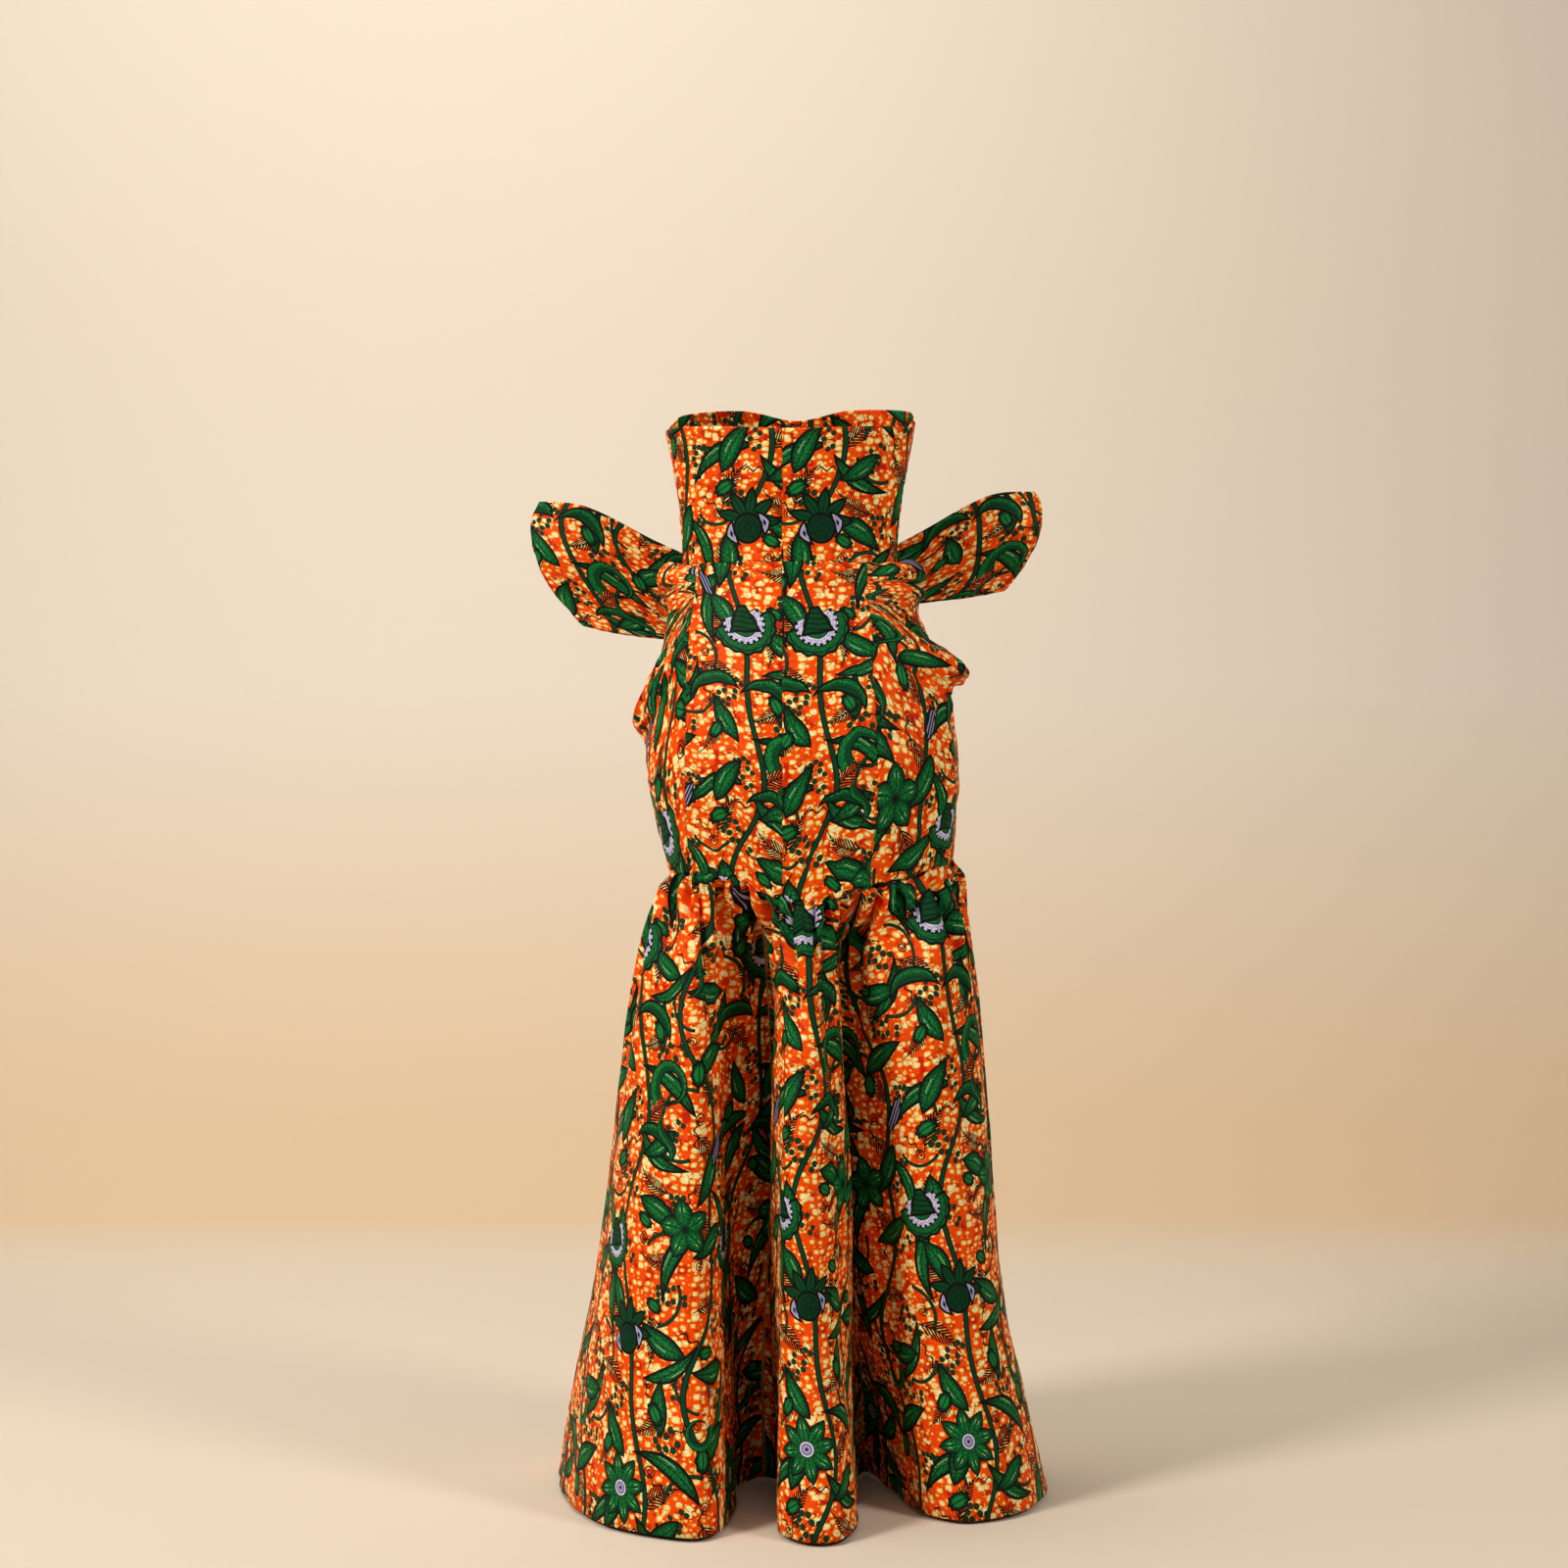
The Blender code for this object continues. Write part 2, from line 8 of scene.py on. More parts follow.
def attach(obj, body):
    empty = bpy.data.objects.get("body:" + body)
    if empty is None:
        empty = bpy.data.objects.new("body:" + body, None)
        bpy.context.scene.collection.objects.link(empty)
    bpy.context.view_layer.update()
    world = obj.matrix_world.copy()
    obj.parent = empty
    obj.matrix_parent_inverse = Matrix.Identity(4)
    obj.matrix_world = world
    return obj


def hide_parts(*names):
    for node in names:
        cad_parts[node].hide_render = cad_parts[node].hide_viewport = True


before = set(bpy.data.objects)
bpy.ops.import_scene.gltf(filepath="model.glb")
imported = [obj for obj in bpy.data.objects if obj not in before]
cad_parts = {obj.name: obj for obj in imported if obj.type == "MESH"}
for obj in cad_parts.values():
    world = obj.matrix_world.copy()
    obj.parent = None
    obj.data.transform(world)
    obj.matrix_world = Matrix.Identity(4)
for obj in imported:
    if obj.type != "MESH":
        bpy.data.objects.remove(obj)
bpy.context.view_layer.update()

# The camera stands 3.3 m behind the wearer, level with the hips, and looks straight ahead
CAMERA_PLACE = (-0.0069, -3.3, -0.255)
CAMERA_LENS, SENSOR_WIDTH = 64.57, 36.0


def placed(name, data):
    """A new object in the scene."""
    thing = bpy.data.objects.new(name, data)
    bpy.context.scene.collection.objects.link(thing)
    return thing


camera = placed("camera", bpy.data.cameras.new("camera"))
camera.location = CAMERA_PLACE
camera.rotation_euler = (math.pi / 2, 0.0, 0.0)
camera.data.lens, camera.data.sensor_width = CAMERA_LENS, SENSOR_WIDTH
bpy.context.scene.camera = camera
bpy.context.scene.view_settings.view_transform = "Standard"

# The studio: a cream paper sheet that runs from the floor up the wall in one curve, with a darker, warmer
# band of painted shade where it turns. Two soft lamps stand at the sides behind the wearer, and two weak ones
# light the sheet.
FLOOR_LEVEL = -1.078
SHEET_FRONT, SHEET_BEND, SHEET_BACK, SHEET_HEIGHT, SHEET_HALF_WIDTH = -4.5, 1.3, 3.2, 4.5, 6.0
SHEET_WALL = (0.84, 0.775, 0.68, 1.0)
# painted shade: the darker, warmer band where the sheet bends from the floor to the wall
SHEET_PAINTED_SHADE_BAND = (0.80, 0.615, 0.42, 1.0)
SHEET_FLOOR = (0.80, 0.715, 0.60, 1.0)
WALL_LEVEL, SHADE_BAND_SHARES, WALL_SHARE = 0.6, (0.03, 0.10), 0.62
LAMP_COLOUR, ROOM_COLOUR, ROOM_STRENGTH = (1.0, 0.93, 0.84), (1.0, 0.92, 0.82, 1.0), 0.018
LAMPS = (  # name, place, aim, size in metres and watts
    ("key", (-2.8, -2.2, 1.9), (0.0, 0.0, -0.3), 0.9, 122.0),
    ("second", (2.8, -2.1, 1.7), (0.0, 0.0, -0.3), 0.9, 62.0),
    ("wall_light", (-0.9, 0.5, 2.9), (-0.6, 3.0, 0.3), 2.4, 78.0),
    ("floor_light", (0.0, -1.9, 2.6), (0.0, -0.9, -1.1), 1.0, 5.0),
)


def sheet_place(along):
    """Where the sheet lies, in y and z, at a length along it from its front edge."""
    radius = SHEET_BACK - SHEET_BEND
    flat, curve = SHEET_BEND - SHEET_FRONT, radius * math.pi / 2
    if along < flat:
        return SHEET_FRONT + along, FLOOR_LEVEL
    if along < flat + curve:
        turn = (along - flat) / radius
        return SHEET_BEND + radius * math.sin(turn), FLOOR_LEVEL + radius * (1 - math.cos(turn))
    return SHEET_BACK, FLOOR_LEVEL + radius + along - flat - curve


def new_material(name):
    """A material with its node tree and its shader."""
    material = bpy.data.materials.new(name)
    material.use_nodes = True
    return material, material.node_tree, material.node_tree.nodes["Principled BSDF"]


def studio_paper():
    material, tree, shader = new_material("studio_paper")
    place, parts = tree.nodes.new("ShaderNodeTexCoord"), tree.nodes.new("ShaderNodeSeparateXYZ")
    share, tint = tree.nodes.new("ShaderNodeMapRange"), tree.nodes.new("ShaderNodeValToRGB")
    share.inputs["From Min"].default_value, share.inputs["From Max"].default_value = FLOOR_LEVEL, WALL_LEVEL
    elements = tint.color_ramp.elements
    elements[0].color, elements[1].color = SHEET_FLOOR, SHEET_WALL
    elements[1].position = WALL_SHARE
    # the band laid into the ramp here is painted shade in the sheet's bend
    for position in SHADE_BAND_SHARES:
        elements.new(position).color = SHEET_PAINTED_SHADE_BAND
    tree.links.new(place.outputs["Object"], parts.inputs[0])
    tree.links.new(parts.outputs["Z"], share.inputs["Value"])
    tree.links.new(share.outputs[0], tint.inputs[0])
    tree.links.new(tint.outputs[0], shader.inputs["Base Color"])
    shader.inputs["Roughness"].default_value = 0.9
    shader.inputs["Specular IOR Level"].default_value = 0.1
    return material


grid = bmesh.new()
bmesh.ops.create_grid(grid, x_segments=2, y_segments=80, size=0.5)
whole_sheet = SHEET_BEND - SHEET_FRONT + (SHEET_BACK - SHEET_BEND) * (math.pi / 2 - 1) + SHEET_HEIGHT
for vert in grid.verts:
    vert.co = (vert.co.x * 2 * SHEET_HALF_WIDTH, *sheet_place((vert.co.y + 0.5) * whole_sheet))
sheet_mesh = bpy.data.meshes.new("studio_sheet")
grid.to_mesh(sheet_mesh)
grid.free()
sheet_mesh.shade_smooth()
sheet_mesh.materials.append(studio_paper())
sheet = placed("studio_sheet", sheet_mesh)
for name, place, aim, size, watts in LAMPS:
    light = bpy.data.lights.new(name, "AREA")
    light.size, light.energy, light.color = size, watts, LAMP_COLOUR
    lamp = placed(name, light)
    lamp.location = place
    lamp.rotation_euler = (Vector(aim) - Vector(place)).to_track_quat("-Z", "Y").to_euler()
room = bpy.data.worlds.new("studio")
room.use_nodes = True
room.node_tree.nodes["Background"].inputs["Color"].default_value = ROOM_COLOUR
room.node_tree.nodes["Background"].inputs["Strength"].default_value = ROOM_STRENGTH
bpy.context.scene.world = room

# Wax-print cotton, the cloth that every panel is cut from: a plain weave printed through on both faces.
# Green leaves and flowers on trailing stems lie over an orange ground broken by small cream dabs. One
# repeat is REPEAT wide and high. The motifs are charted in centimetres and none is traced.
REPEAT = (0.208, 0.40)
FLOWER_REPEAT = 0.90  # how far up the same flowers come back
GROUND_ORANGE = (0.94, 0.074, 0.001, 1.0)
GROUND_RED = (0.60, 0.014, 0.001, 1.0)
DAB_YELLOW = (1.0, 0.42, 0.012, 1.0)
DAB_CREAM = (1.0, 0.92, 0.47, 1.0)
CRACKLE_BROWN = (0.22, 0.022, 0.008, 1.0)
LINE_BLACK = (0.003, 0.006, 0.004, 1.0)
LEAF_GREEN = (0.001, 0.060, 0.017, 1.0)
LEAF_LIGHT = (0.010, 0.26, 0.052, 1.0)
STEM_GREEN = (0.002, 0.050, 0.018, 1.0)
BODY_GREEN = (0.001, 0.014, 0.007, 1.0)
BERRY_GREEN = (0.004, 0.045, 0.016, 1.0)
SPRIG_BROWN = (0.016, 0.010, 0.004, 1.0)
GLINT = (0.35, 0.62, 0.30, 1.0)
LAVENDER = (0.36, 0.33, 0.62, 1.0)
LAVENDER_LIGHT = (0.72, 0.70, 0.88, 1.0)
OUTLINE = 0.19
DAB_ROWS = (  # the dabs' width and height, and their least size and its spread in cells
    (0.0118, 0.0085, 0.17, 0.41),
    (0.0068, 0.0052, -0.04, 0.41),
)
DAB_UNEVENNESS = 0.74
STEM_HALF_WIDTH, STEM_OUTLINE = 0.36, 0.13
COTTON_ROUGHNESS, COTTON_SHINE = 0.62, 0.10
CRUMPLE_SCALE, CRUMPLE_DETAIL, CRUMPLE_STRENGTH, CRUMPLE_HEIGHT = 38.0, 3.0, 0.35, 0.004


class Ink:
    """A socket of a node tree. A sum on it adds a Math node, which comes after what feeds it."""

    def __init__(self, tree, socket):
        self.tree, self.socket = tree, socket

    def __add__(self, other):
        return calc("ADD", self, other)

    def __sub__(self, other):
        return calc("SUBTRACT", self, other)

    def __rsub__(self, other):
        return calc("SUBTRACT", other, self)

    def __mul__(self, other):
        return calc("MULTIPLY", self, other)

    def __truediv__(self, other):
        return calc("DIVIDE", self, other)

    def __rtruediv__(self, other):
        return calc("DIVIDE", other, self)

    def __gt__(self, other):
        return calc("GREATER_THAN", self, other)

    def __lt__(self, other):
        return calc("LESS_THAN", self, other)

    def __abs__(self):
        return calc("ABSOLUTE", self)


def feed(socket, value):
    """Gives a socket an ink or a plain value."""
    if isinstance(value, Ink):
        value.tree.links.new(value.socket, socket)
    else:
        socket.default_value = value


def calc(operation, *values):
    """A sum of one or more values, at least one of them an ink."""
    tree = next(value.tree for value in values if isinstance(value, Ink))
    node = tree.nodes.new("ShaderNodeMath")
    node.operation = operation
    for socket, value in zip(node.inputs, values):
        feed(socket, value)
    return Ink(tree, node.outputs[0])


def scaled(value, by, plus):
    return calc("MULTIPLY_ADD", value, by, plus)


def larger(a, b):
    return calc("MAXIMUM", a, b)


def smaller(a, b):
    return calc("MINIMUM", a, b)


def clamped(value):
    return larger(smaller(value, 1.0), 0.0)


def both(*masks):
    result = masks[0]
    for mask in masks[1:]:
        result = result * mask
    return result


def along_axis(point, axis):
    node = point.tree.nodes.new("ShaderNodeVectorMath")
    node.operation = "DOT_PRODUCT"
    feed(node.inputs[0], point)
    feed(node.inputs[1], axis)
    return Ink(point.tree, node.outputs["Value"])


def polar(x, y):
    """The distance from the motif's middle and the turn from +x, in radians."""
    squares = scaled(x, x, y * y)
    return calc("SQRT", squares), calc("ARCTAN2", y, x)


def painted(under, colour, where):
    """The colour laid over what is under it, as thick as where says."""
    node = where.tree.nodes.new("ShaderNodeMix")
    node.data_type = "RGBA"
    feed(node.inputs["Factor"], where)
    feed(node.inputs[6], under)
    feed(node.inputs[7], colour)
    return Ink(where.tree, node.outputs[2])


def filled(under, depth, fill, outline=OUTLINE):
    """A shape whose depth is above 0 inside it: a black line round the fill."""
    return painted(painted(under, LINE_BLACK, depth > 0.0), fill, depth > outline)


def motif(name):
    """An empty motif, as a node group: its own x and y, the colour under it, the green's mottle, and a
    function that takes its finished colour."""
    tree = bpy.data.node_groups.new(name, "ShaderNodeTree")
    for socket, kind in (("X", "Float"), ("Y", "Float"), ("Under", "Color"), ("Mottle", "Float")):
        tree.interface.new_socket(socket, in_out="INPUT", socket_type="NodeSocket" + kind)
    tree.interface.new_socket("Colour", in_out="OUTPUT", socket_type="NodeSocketColor")
    given, made = tree.nodes.new("NodeGroupInput"), tree.nodes.new("NodeGroupOutput")

    def finish(colour):
        feed(made.inputs[0], colour)
        return tree

    return *(Ink(tree, given.outputs[i]) for i in range(4)), finish


def leaf_motif(name, half_length, half_width, bend, taper, veins):
    """A pointed leaf along x, bent like a bow, with a midrib, slanted veins and a lighter heart."""
    x, y, under, mottle, finish = motif(name)
    along = x / half_length
    square = along * along
    y = scaled(square, bend, y)
    off = abs(y)
    width = larger(1.0 - square, 0.0) * scaled(along, -taper * half_width, half_width)
    depth = width - off
    slant = scaled(off, 0.8, along * half_length)
    ribs = calc("FRACT", slant * veins) < 0.2
    ribs = both(ribs, depth < 0.52 * half_width)
    midrib = off < 0.055
    heart = clamped(scaled(depth, 2.6 / half_width, -0.75))
    green = painted(LEAF_GREEN, LEAF_LIGHT, heart * mottle)
    glint = both(y > 0.12, abs(y - 0.26) < 0.035, abs(along + 0.1) < 0.22)
    green = painted(green, GLINT, glint * 0.75)
    green = painted(green, LINE_BLACK, larger(ribs, midrib) * 0.8)
    return finish(filled(under, depth, green))


def star_motif(name, petals, reach, width, eye):
    """A flower with pointed petals round a ringed eye, or round none where eye is 0."""
    x, y, under, mottle, finish = motif(name)
    radius, turn = polar(x, y)
    folded = calc("PINGPONG", turn, math.pi / petals)
    across = radius * calc("SINE", folded)
    along = radius * calc("COSINE", folded)
    share = scaled(along, 2 / reach, -1.0)
    half = scaled(share * share, -width, width)
    depth = half - across
    heart = clamped(scaled(depth, 2.4 / width, -0.6))
    green = painted(LEAF_GREEN, LEAF_LIGHT, heart * mottle)
    hatch = calc("FRACT", scaled(across, 1.6, along * 2.4)) < 0.22
    hatch = both(hatch, depth < 0.5 * width)
    lines = larger(hatch, across < 0.06)
    green = painted(green, LINE_BLACK, lines * 0.8)
    glint = both(abs(across - 0.2) < 0.045, abs(share - 0.25) < 0.13)
    green = painted(green, GLINT, glint * 0.8)
    result = filled(under, depth, green)
    if eye:
        inner = eye - radius
        result = filled(result, inner, LAVENDER_LIGHT, 0.1)
        ring = both(inner > 0.28, inner < 0.37)
        result = painted(result, LAVENDER, inner > 0.32)
        result = painted(result, LINE_BLACK, larger(ring, inner > eye - 0.16))
    return finish(result)


def crown_motif(name):
    """A flower with a round body, a fan of pointed leaves and two pale curls beside it."""
    x, y, under, mottle, finish = motif(name)
    fan_x, fan_y = x - 0.0, y - 0.15
    radius, turn = polar(fan_y, fan_x)
    folded = calc("WRAP", turn, -0.36, 0.36)
    across = radius * abs(calc("SINE", folded))
    along = radius * calc("COSINE", folded)
    share = scaled(along, 1 / 1.25, -1.0)
    width = scaled(share * share, -0.5, 0.5)
    in_fan = abs(turn) < 1.75
    depth = (width - across) * in_fan
    green = painted(LEAF_GREEN, LINE_BLACK, (across < 0.05) * 0.7)
    result = filled(under, depth, green)
    body_x, body_y = x - 0.05, y - (-0.35)
    radius, turn = polar(body_x, body_y)
    side = abs(calc("WRAP", turn - 0.45, -math.pi / 2, math.pi / 2))
    curl = scaled(side, -0.55, 0.5)
    depth = curl - abs(radius - 1.28)
    result = filled(result, depth, LAVENDER_LIGHT)
    result = painted(result, LAVENDER, depth > 0.22)
    result = painted(result, LINE_BLACK, depth > 0.38)
    hatch = calc("SINE", scaled(mottle, 14.0, radius * 16.0))
    body = painted(BODY_GREEN, LEAF_GREEN, hatch > 0.35)
    result = filled(result, 1.12 - radius, body)
    return finish(result)


def bell_motif(name):
    """A hanging bell flower: a frilled green half disc with a pale, dotted crescent in it."""
    x, y, under, mottle, finish = motif(name)
    radius, turn = polar(x, y)
    frill = scaled(calc("SINE", turn * 15.0), 0.06, 2.15)
    slant = scaled(x, 0.22, 0.42)
    lower = slant - y
    depth = smaller(frill - radius, lower)
    green = painted(LEAF_GREEN, LEAF_LIGHT, mottle * 0.6)
    green = painted(green, LINE_BLACK, both(radius > 1.78, radius < 1.86))
    result = filled(under, depth, green)
    band = 0.3 - abs(radius - 1.14)
    band = smaller(band, slant + 0.35 - y)
    result = filled(result, band, LAVENDER_LIGHT, 0.07)
    dots = calc("FRACT", turn * 3.2) < 0.5
    edge = both(radius > 1.22, dots, band > 0.0)
    result = painted(result, LAVENDER, both(band > 0.12, mottle))
    result = painted(result, LINE_BLACK, edge)
    neck_y = y - 0.35
    neck = scaled(neck_y, -0.42, 0.72) - abs(x)
    neck = smaller(neck, 0.95 - abs(neck_y))
    rings = calc("SINE", scaled(y, 17.0, x * 3.0))
    cap = painted(LEAF_GREEN, LINE_BLACK, (rings > 0.55) * 0.8)
    return finish(filled(result, neck, cap))


def berries_motif(name):
    """A loose bunch of round berries, whose places are uneven and some of which are missing."""
    x, y, under, mottle, finish = motif(name)
    row = calc("FLOOR", y / 0.62)
    step = scaled(row, 0.37, x / 0.66)
    column = calc("FLOOR", step)
    chance = scaled(row, 12.99, column * 78.23)
    chance = calc("FRACT", calc("SINE", chance) * 437.6)
    in_x = scaled(step - column, 0.66, -0.33)
    in_y = scaled(calc("FRACT", y / 0.62), 0.62, -0.31)
    in_y = scaled(chance, 0.1, in_y - 0.05)
    radius, _ = polar(in_x, in_y)
    from_middle = scaled(row * row, 0.3, scaled(row, -0.37, column) * scaled(row, -0.37, column))
    there = both(from_middle < 3.9, chance > 0.34)
    depth = (0.32 - radius) * there
    twig = both(abs(scaled(x, 0.35, in_y)) < 0.035, from_middle < 5.5)
    result = painted(under, SPRIG_BROWN, twig)
    return finish(filled(result, depth, BERRY_GREEN, 0.06))


def fern_motif(name):
    """A dark sprig: a thin curved rib with slanted barbs that shorten towards the tip."""
    x, y, under, mottle, finish = motif(name)
    along = x / 1.9
    y = scaled(along * along, 0.42, y)
    off = abs(y)
    width = larger(0.86 - along * along, 0.0) * scaled(along, -0.32, 0.8)
    slant = scaled(off, -1.35, x)
    barb = calc("PINGPONG", slant + 20.0, 0.17)
    depth = smaller(width - off, 0.115 - barb)
    rib = both(off < 0.055, abs(along) < 1.1)
    result = painted(under, SPRIG_BROWN, larger(depth > 0.0, rib))
    return finish(result)


def tendril_motif(name):
    """A thin brown tendril: a coil with a waving tail."""
    x, y, under, mottle, finish = motif(name)
    radius, turn = polar(x, y)
    coil = calc("WRAP", scaled(turn, -0.34 / (2 * math.pi), radius), 0.17, -0.17)
    line = both(abs(coil) < 0.075, radius < 0.74)
    wave = calc("SINE", x * 4.2) * 0.26
    tail = abs(y - wave + 0.55)
    span = abs(x - 1.6)
    tail = both(tail < 0.12, span < 1.55)
    return finish(painted(under, SPRIG_BROWN, larger(line, tail)))


def crook_motif(name):
    """A thick green stem curled round on itself, tapering to a point."""
    x, y, under, mottle, finish = motif(name)
    radius, turn = polar(x, y)
    taper = scaled(turn, 0.085, 0.27)
    bow = scaled(turn, 0.06, 1.1)
    depth = taper - abs(radius - bow)
    green = painted(LEAF_GREEN, LEAF_LIGHT, both(radius > bow, mottle))
    return finish(filled(under, depth, green, 0.09))


def bud_motif(name):
    """A long dark bud with pale stripes."""
    x, y, under, mottle, finish = motif(name)
    along = x / 2.1
    square = along * along
    width = scaled(square, -0.72, 0.72)
    depth = width - abs(y)
    stripes = calc("PINGPONG", y + 4.0, 0.17)
    pale = both(stripes > 0.1, depth > 0.2)
    inside = painted(BODY_GREEN, LAVENDER, pale)
    return finish(filled(under, depth, inside, 0.12))


def arch_motif(name):
    """A long leaf drooping from its middle like a bow, with fine lines along it."""
    x, y, under, mottle, finish = motif(name)
    radius, turn = polar(y + 2.3, x)
    share = turn / 1.25
    width = larger(scaled(share * share, -1.0, 1.0), 0.0) * scaled(share, 0.22, 0.62)
    off = radius - 2.3
    depth = width - abs(off)
    lines = calc("PINGPONG", off + 3.0, 0.14) < 0.035
    green = painted(LEAF_GREEN, LEAF_LIGHT, both(off > 0.02, mottle))
    green = painted(green, LINE_BLACK, lines * 0.7)
    return finish(filled(under, depth, green))


def swan_motif(name):
    """A thick stem in an S, widest in its middle."""
    x, y, under, mottle, finish = motif(name)
    along = x / 2.9
    bow = calc("SINE", x * 1.25) * 0.62
    off = y - bow
    width = scaled(along * along, -0.58, 0.58)
    depth = width - abs(off)
    lines = calc("PINGPONG", off + 3.0, 0.16) < 0.035
    green = painted(LEAF_GREEN, LEAF_LIGHT, both(off > 0.05, mottle))
    green = painted(green, LINE_BLACK, lines * 0.7)
    return finish(filled(under, depth, green, 0.12))


def branch_motif(name):
    """A side stem bent through part of a circle."""
    x, y, under, mottle, finish = motif(name)
    radius, turn = polar(x + 3.0, y)
    depth = 0.2 - abs(radius - 3.0)
    depth = smaller(depth, 0.95 - abs(turn))
    return finish(filled(under, depth, STEM_GREEN, 0.08))


def oval_motif(name):
    """A small blunt leaf with a wavy edge and a bright spot."""
    x, y, under, mottle, finish = motif(name)
    radius, turn = polar(x * 0.62, y)
    edge = scaled(calc("SINE", turn * 9.0), 0.05, 0.72)
    depth = edge - radius
    spot = (radius < 0.4) * 0.75
    green = painted(LEAF_GREEN, LEAF_LIGHT, spot)
    rib = both(abs(y) < 0.05, depth > 0.2)
    return finish(filled(under, depth, painted(green, LINE_BLACK, rib)))


# How the motifs stand in one repeat, back to front. A scattered kind has its number of cells across and
# up, its start in cells, and one row a cell, each second column half a cell higher: the motif's size,
# its turn in twelfths, and how far it is off the cell's middle across and up, in millimetres.
SCATTERED = (
    ("tendril", (3, 5), (0.30, 0.10), (
        (1.00, 1, 4, -6), (0.90, 6, -5, 8), (1.00, 9, 3, 2), (0.95, 4, 2, 9), (1.05, 11, 6, -4),
        (0.90, 7, -6, 5), (0.90, 2, -3, -8), (0.95, 10, 4, 6), (1.00, 5, 2, -2), (1.05, 8, 5, 3),
        (0.90, 0, -4, -7), (0.95, 3, 0, 8), (0.95, 5, 5, 3), (1.00, 1, -4, -7), (0.95, 8, 0, 8),
    )),
    ("fern", (3, 5), (0.10, 0.55), (
        (1.44, 2, 5, -8), (1.32, 5, -4, 6), (1.50, 10, 2, 0), (1.26, 8, -6, 4), (1.44, 1, 4, 9),
        (1.38, 4, 0, -6), (1.50, 11, 3, 5), (1.32, 7, -5, -3), (1.38, 2, 6, 8), (1.32, 5, 2, -9),
        (1.44, 9, -2, 4), (1.26, 0, 4, 2), (1.44, 3, -3, -5), (1.32, 6, 6, 6), (1.44, 10, 0, -4),
    )),
    ("berries", (3, 5), (0.75, 0.40), (
        (1.05, 0, 6, 5), (1.15, 2, -4, -9), (1.00, 5, 3, 7), (1.10, 3, -5, 2), (1.00, 1, 5, -6),
        (1.20, 4, 0, 9), (1.15, 2, 4, -3), (1.05, 5, -6, 6), (1.00, 0, 2, -8), (1.00, 4, 0, 4),
        (1.15, 1, 6, 2), (1.05, 3, -3, -5), (1.10, 5, 3, 3), (1.00, 2, -5, 0), (1.10, 0, 0, 6),
    )),
    ("branch", (2, 5), (0.35, 0.15), (
        (1.00, 2, 8, -4), (1.05, 8, -6, 5), (0.95, 10, -8, 2), (1.10, 4, 4, -6), (1.05, 1, 6, 6),
        (0.95, 7, 8, -5), (1.00, 5, -4, 0), (1.05, 11, 6, 3), (0.95, 9, 0, -5), (1.10, 3, -6, 4),
    )),
    ("blade", (2, 4), (0.45, 0.20), (
        (1.60, 1, 12, -8), (1.45, 5, -10, 9), (1.40, 8, -14, 4), (1.65, 11, 6, -6), (1.55, 3, 8, 8),
        (1.35, 7, 12, -10), (1.45, 10, -8, -4), (1.60, 2, 10, 6),
    )),
    ("leaf", (3, 6), (0.00, 0.00), (
        (1.50, 2, 2, -2), (1.30, 7, -2, 3), (0.00, 0, 0, 0), (1.35, 4, 0, 2), (0.00, 0, 0, 0),
        (1.50, 1, 2, -1), (0.00, 0, 0, 0), (1.30, 3, -2, 0), (1.45, 6, 0, 0), (1.40, 10, 2, 2),
        (1.50, 5, 0, -2), (0.00, 0, 0, 0), (1.50, 9, -2, 0), (0.00, 0, 0, 0), (1.40, 7, 0, 0),
        (0.00, 0, 0, 0), (1.50, 11, 0, 1), (1.55, 8, -2, 2),
    )),
    ("oval", (3, 4), (0.20, 0.70), (
        (1.25, 1, 6, 4), (1.05, 5, -8, -6), (0.00, 0, 0, 0), (1.10, 8, 4, 8), (0.00, 0, 0, 0),
        (1.30, 3, -6, 2), (0.00, 0, 0, 0), (1.20, 10, 8, -4), (1.05, 6, 2, 9), (1.25, 2, -4, -8),
        (1.00, 11, 6, 6), (0.00, 0, 0, 0),
    )),
)
UNDER_STEMS = 4  # so many kinds lie under the trailing stems, and the others over them
# A flower's kind, its middle in millimetres from the repeat's lower left corner, its turn and its size
FLOWERS = (
    ("arch", 92, 548, -16, 1.50), ("arch", 14, 552, 18, 1.50), ("arch", 96, 420, -14, 1.40),
    ("swan", 112, 412, 100, 1.10), ("swan", 160, 590, 60, 1.15), ("crook", 116, 468, 40, 1.90),
    ("crook", 150, 110, 200, 1.25), ("bud", 190, 400, 60, 1.20), ("bud", 10, 674, 120, 1.05),
    ("bloom", 136, 318, 100, 1.15), ("star", 48, 46, 10, 1.08), ("bell", 16, 298, 8, 1.60),
    ("crown", 56, 203, -8, 1.50), ("bell", 60, 622, 8, 1.80), ("crown", 55, 744, -8, 1.60),
)
# A trailing stem's place across in millimetres, then the swing and the start in radians of its long
# wave and of its short wave
STEMS = ((62, 17, 0.4, 9, 1.0), (164, 20, 2.4, 12, 0.3))


def mixed_noise(cloth, scale, detail=1.0):
    node = cloth.tree.nodes.new("ShaderNodeTexNoise")
    node.noise_dimensions = "2D"
    node.inputs["Scale"].default_value, node.inputs["Detail"].default_value = scale, detail
    feed(node.inputs["Vector"], cloth)
    return Ink(cloth.tree, node.outputs["Fac"])


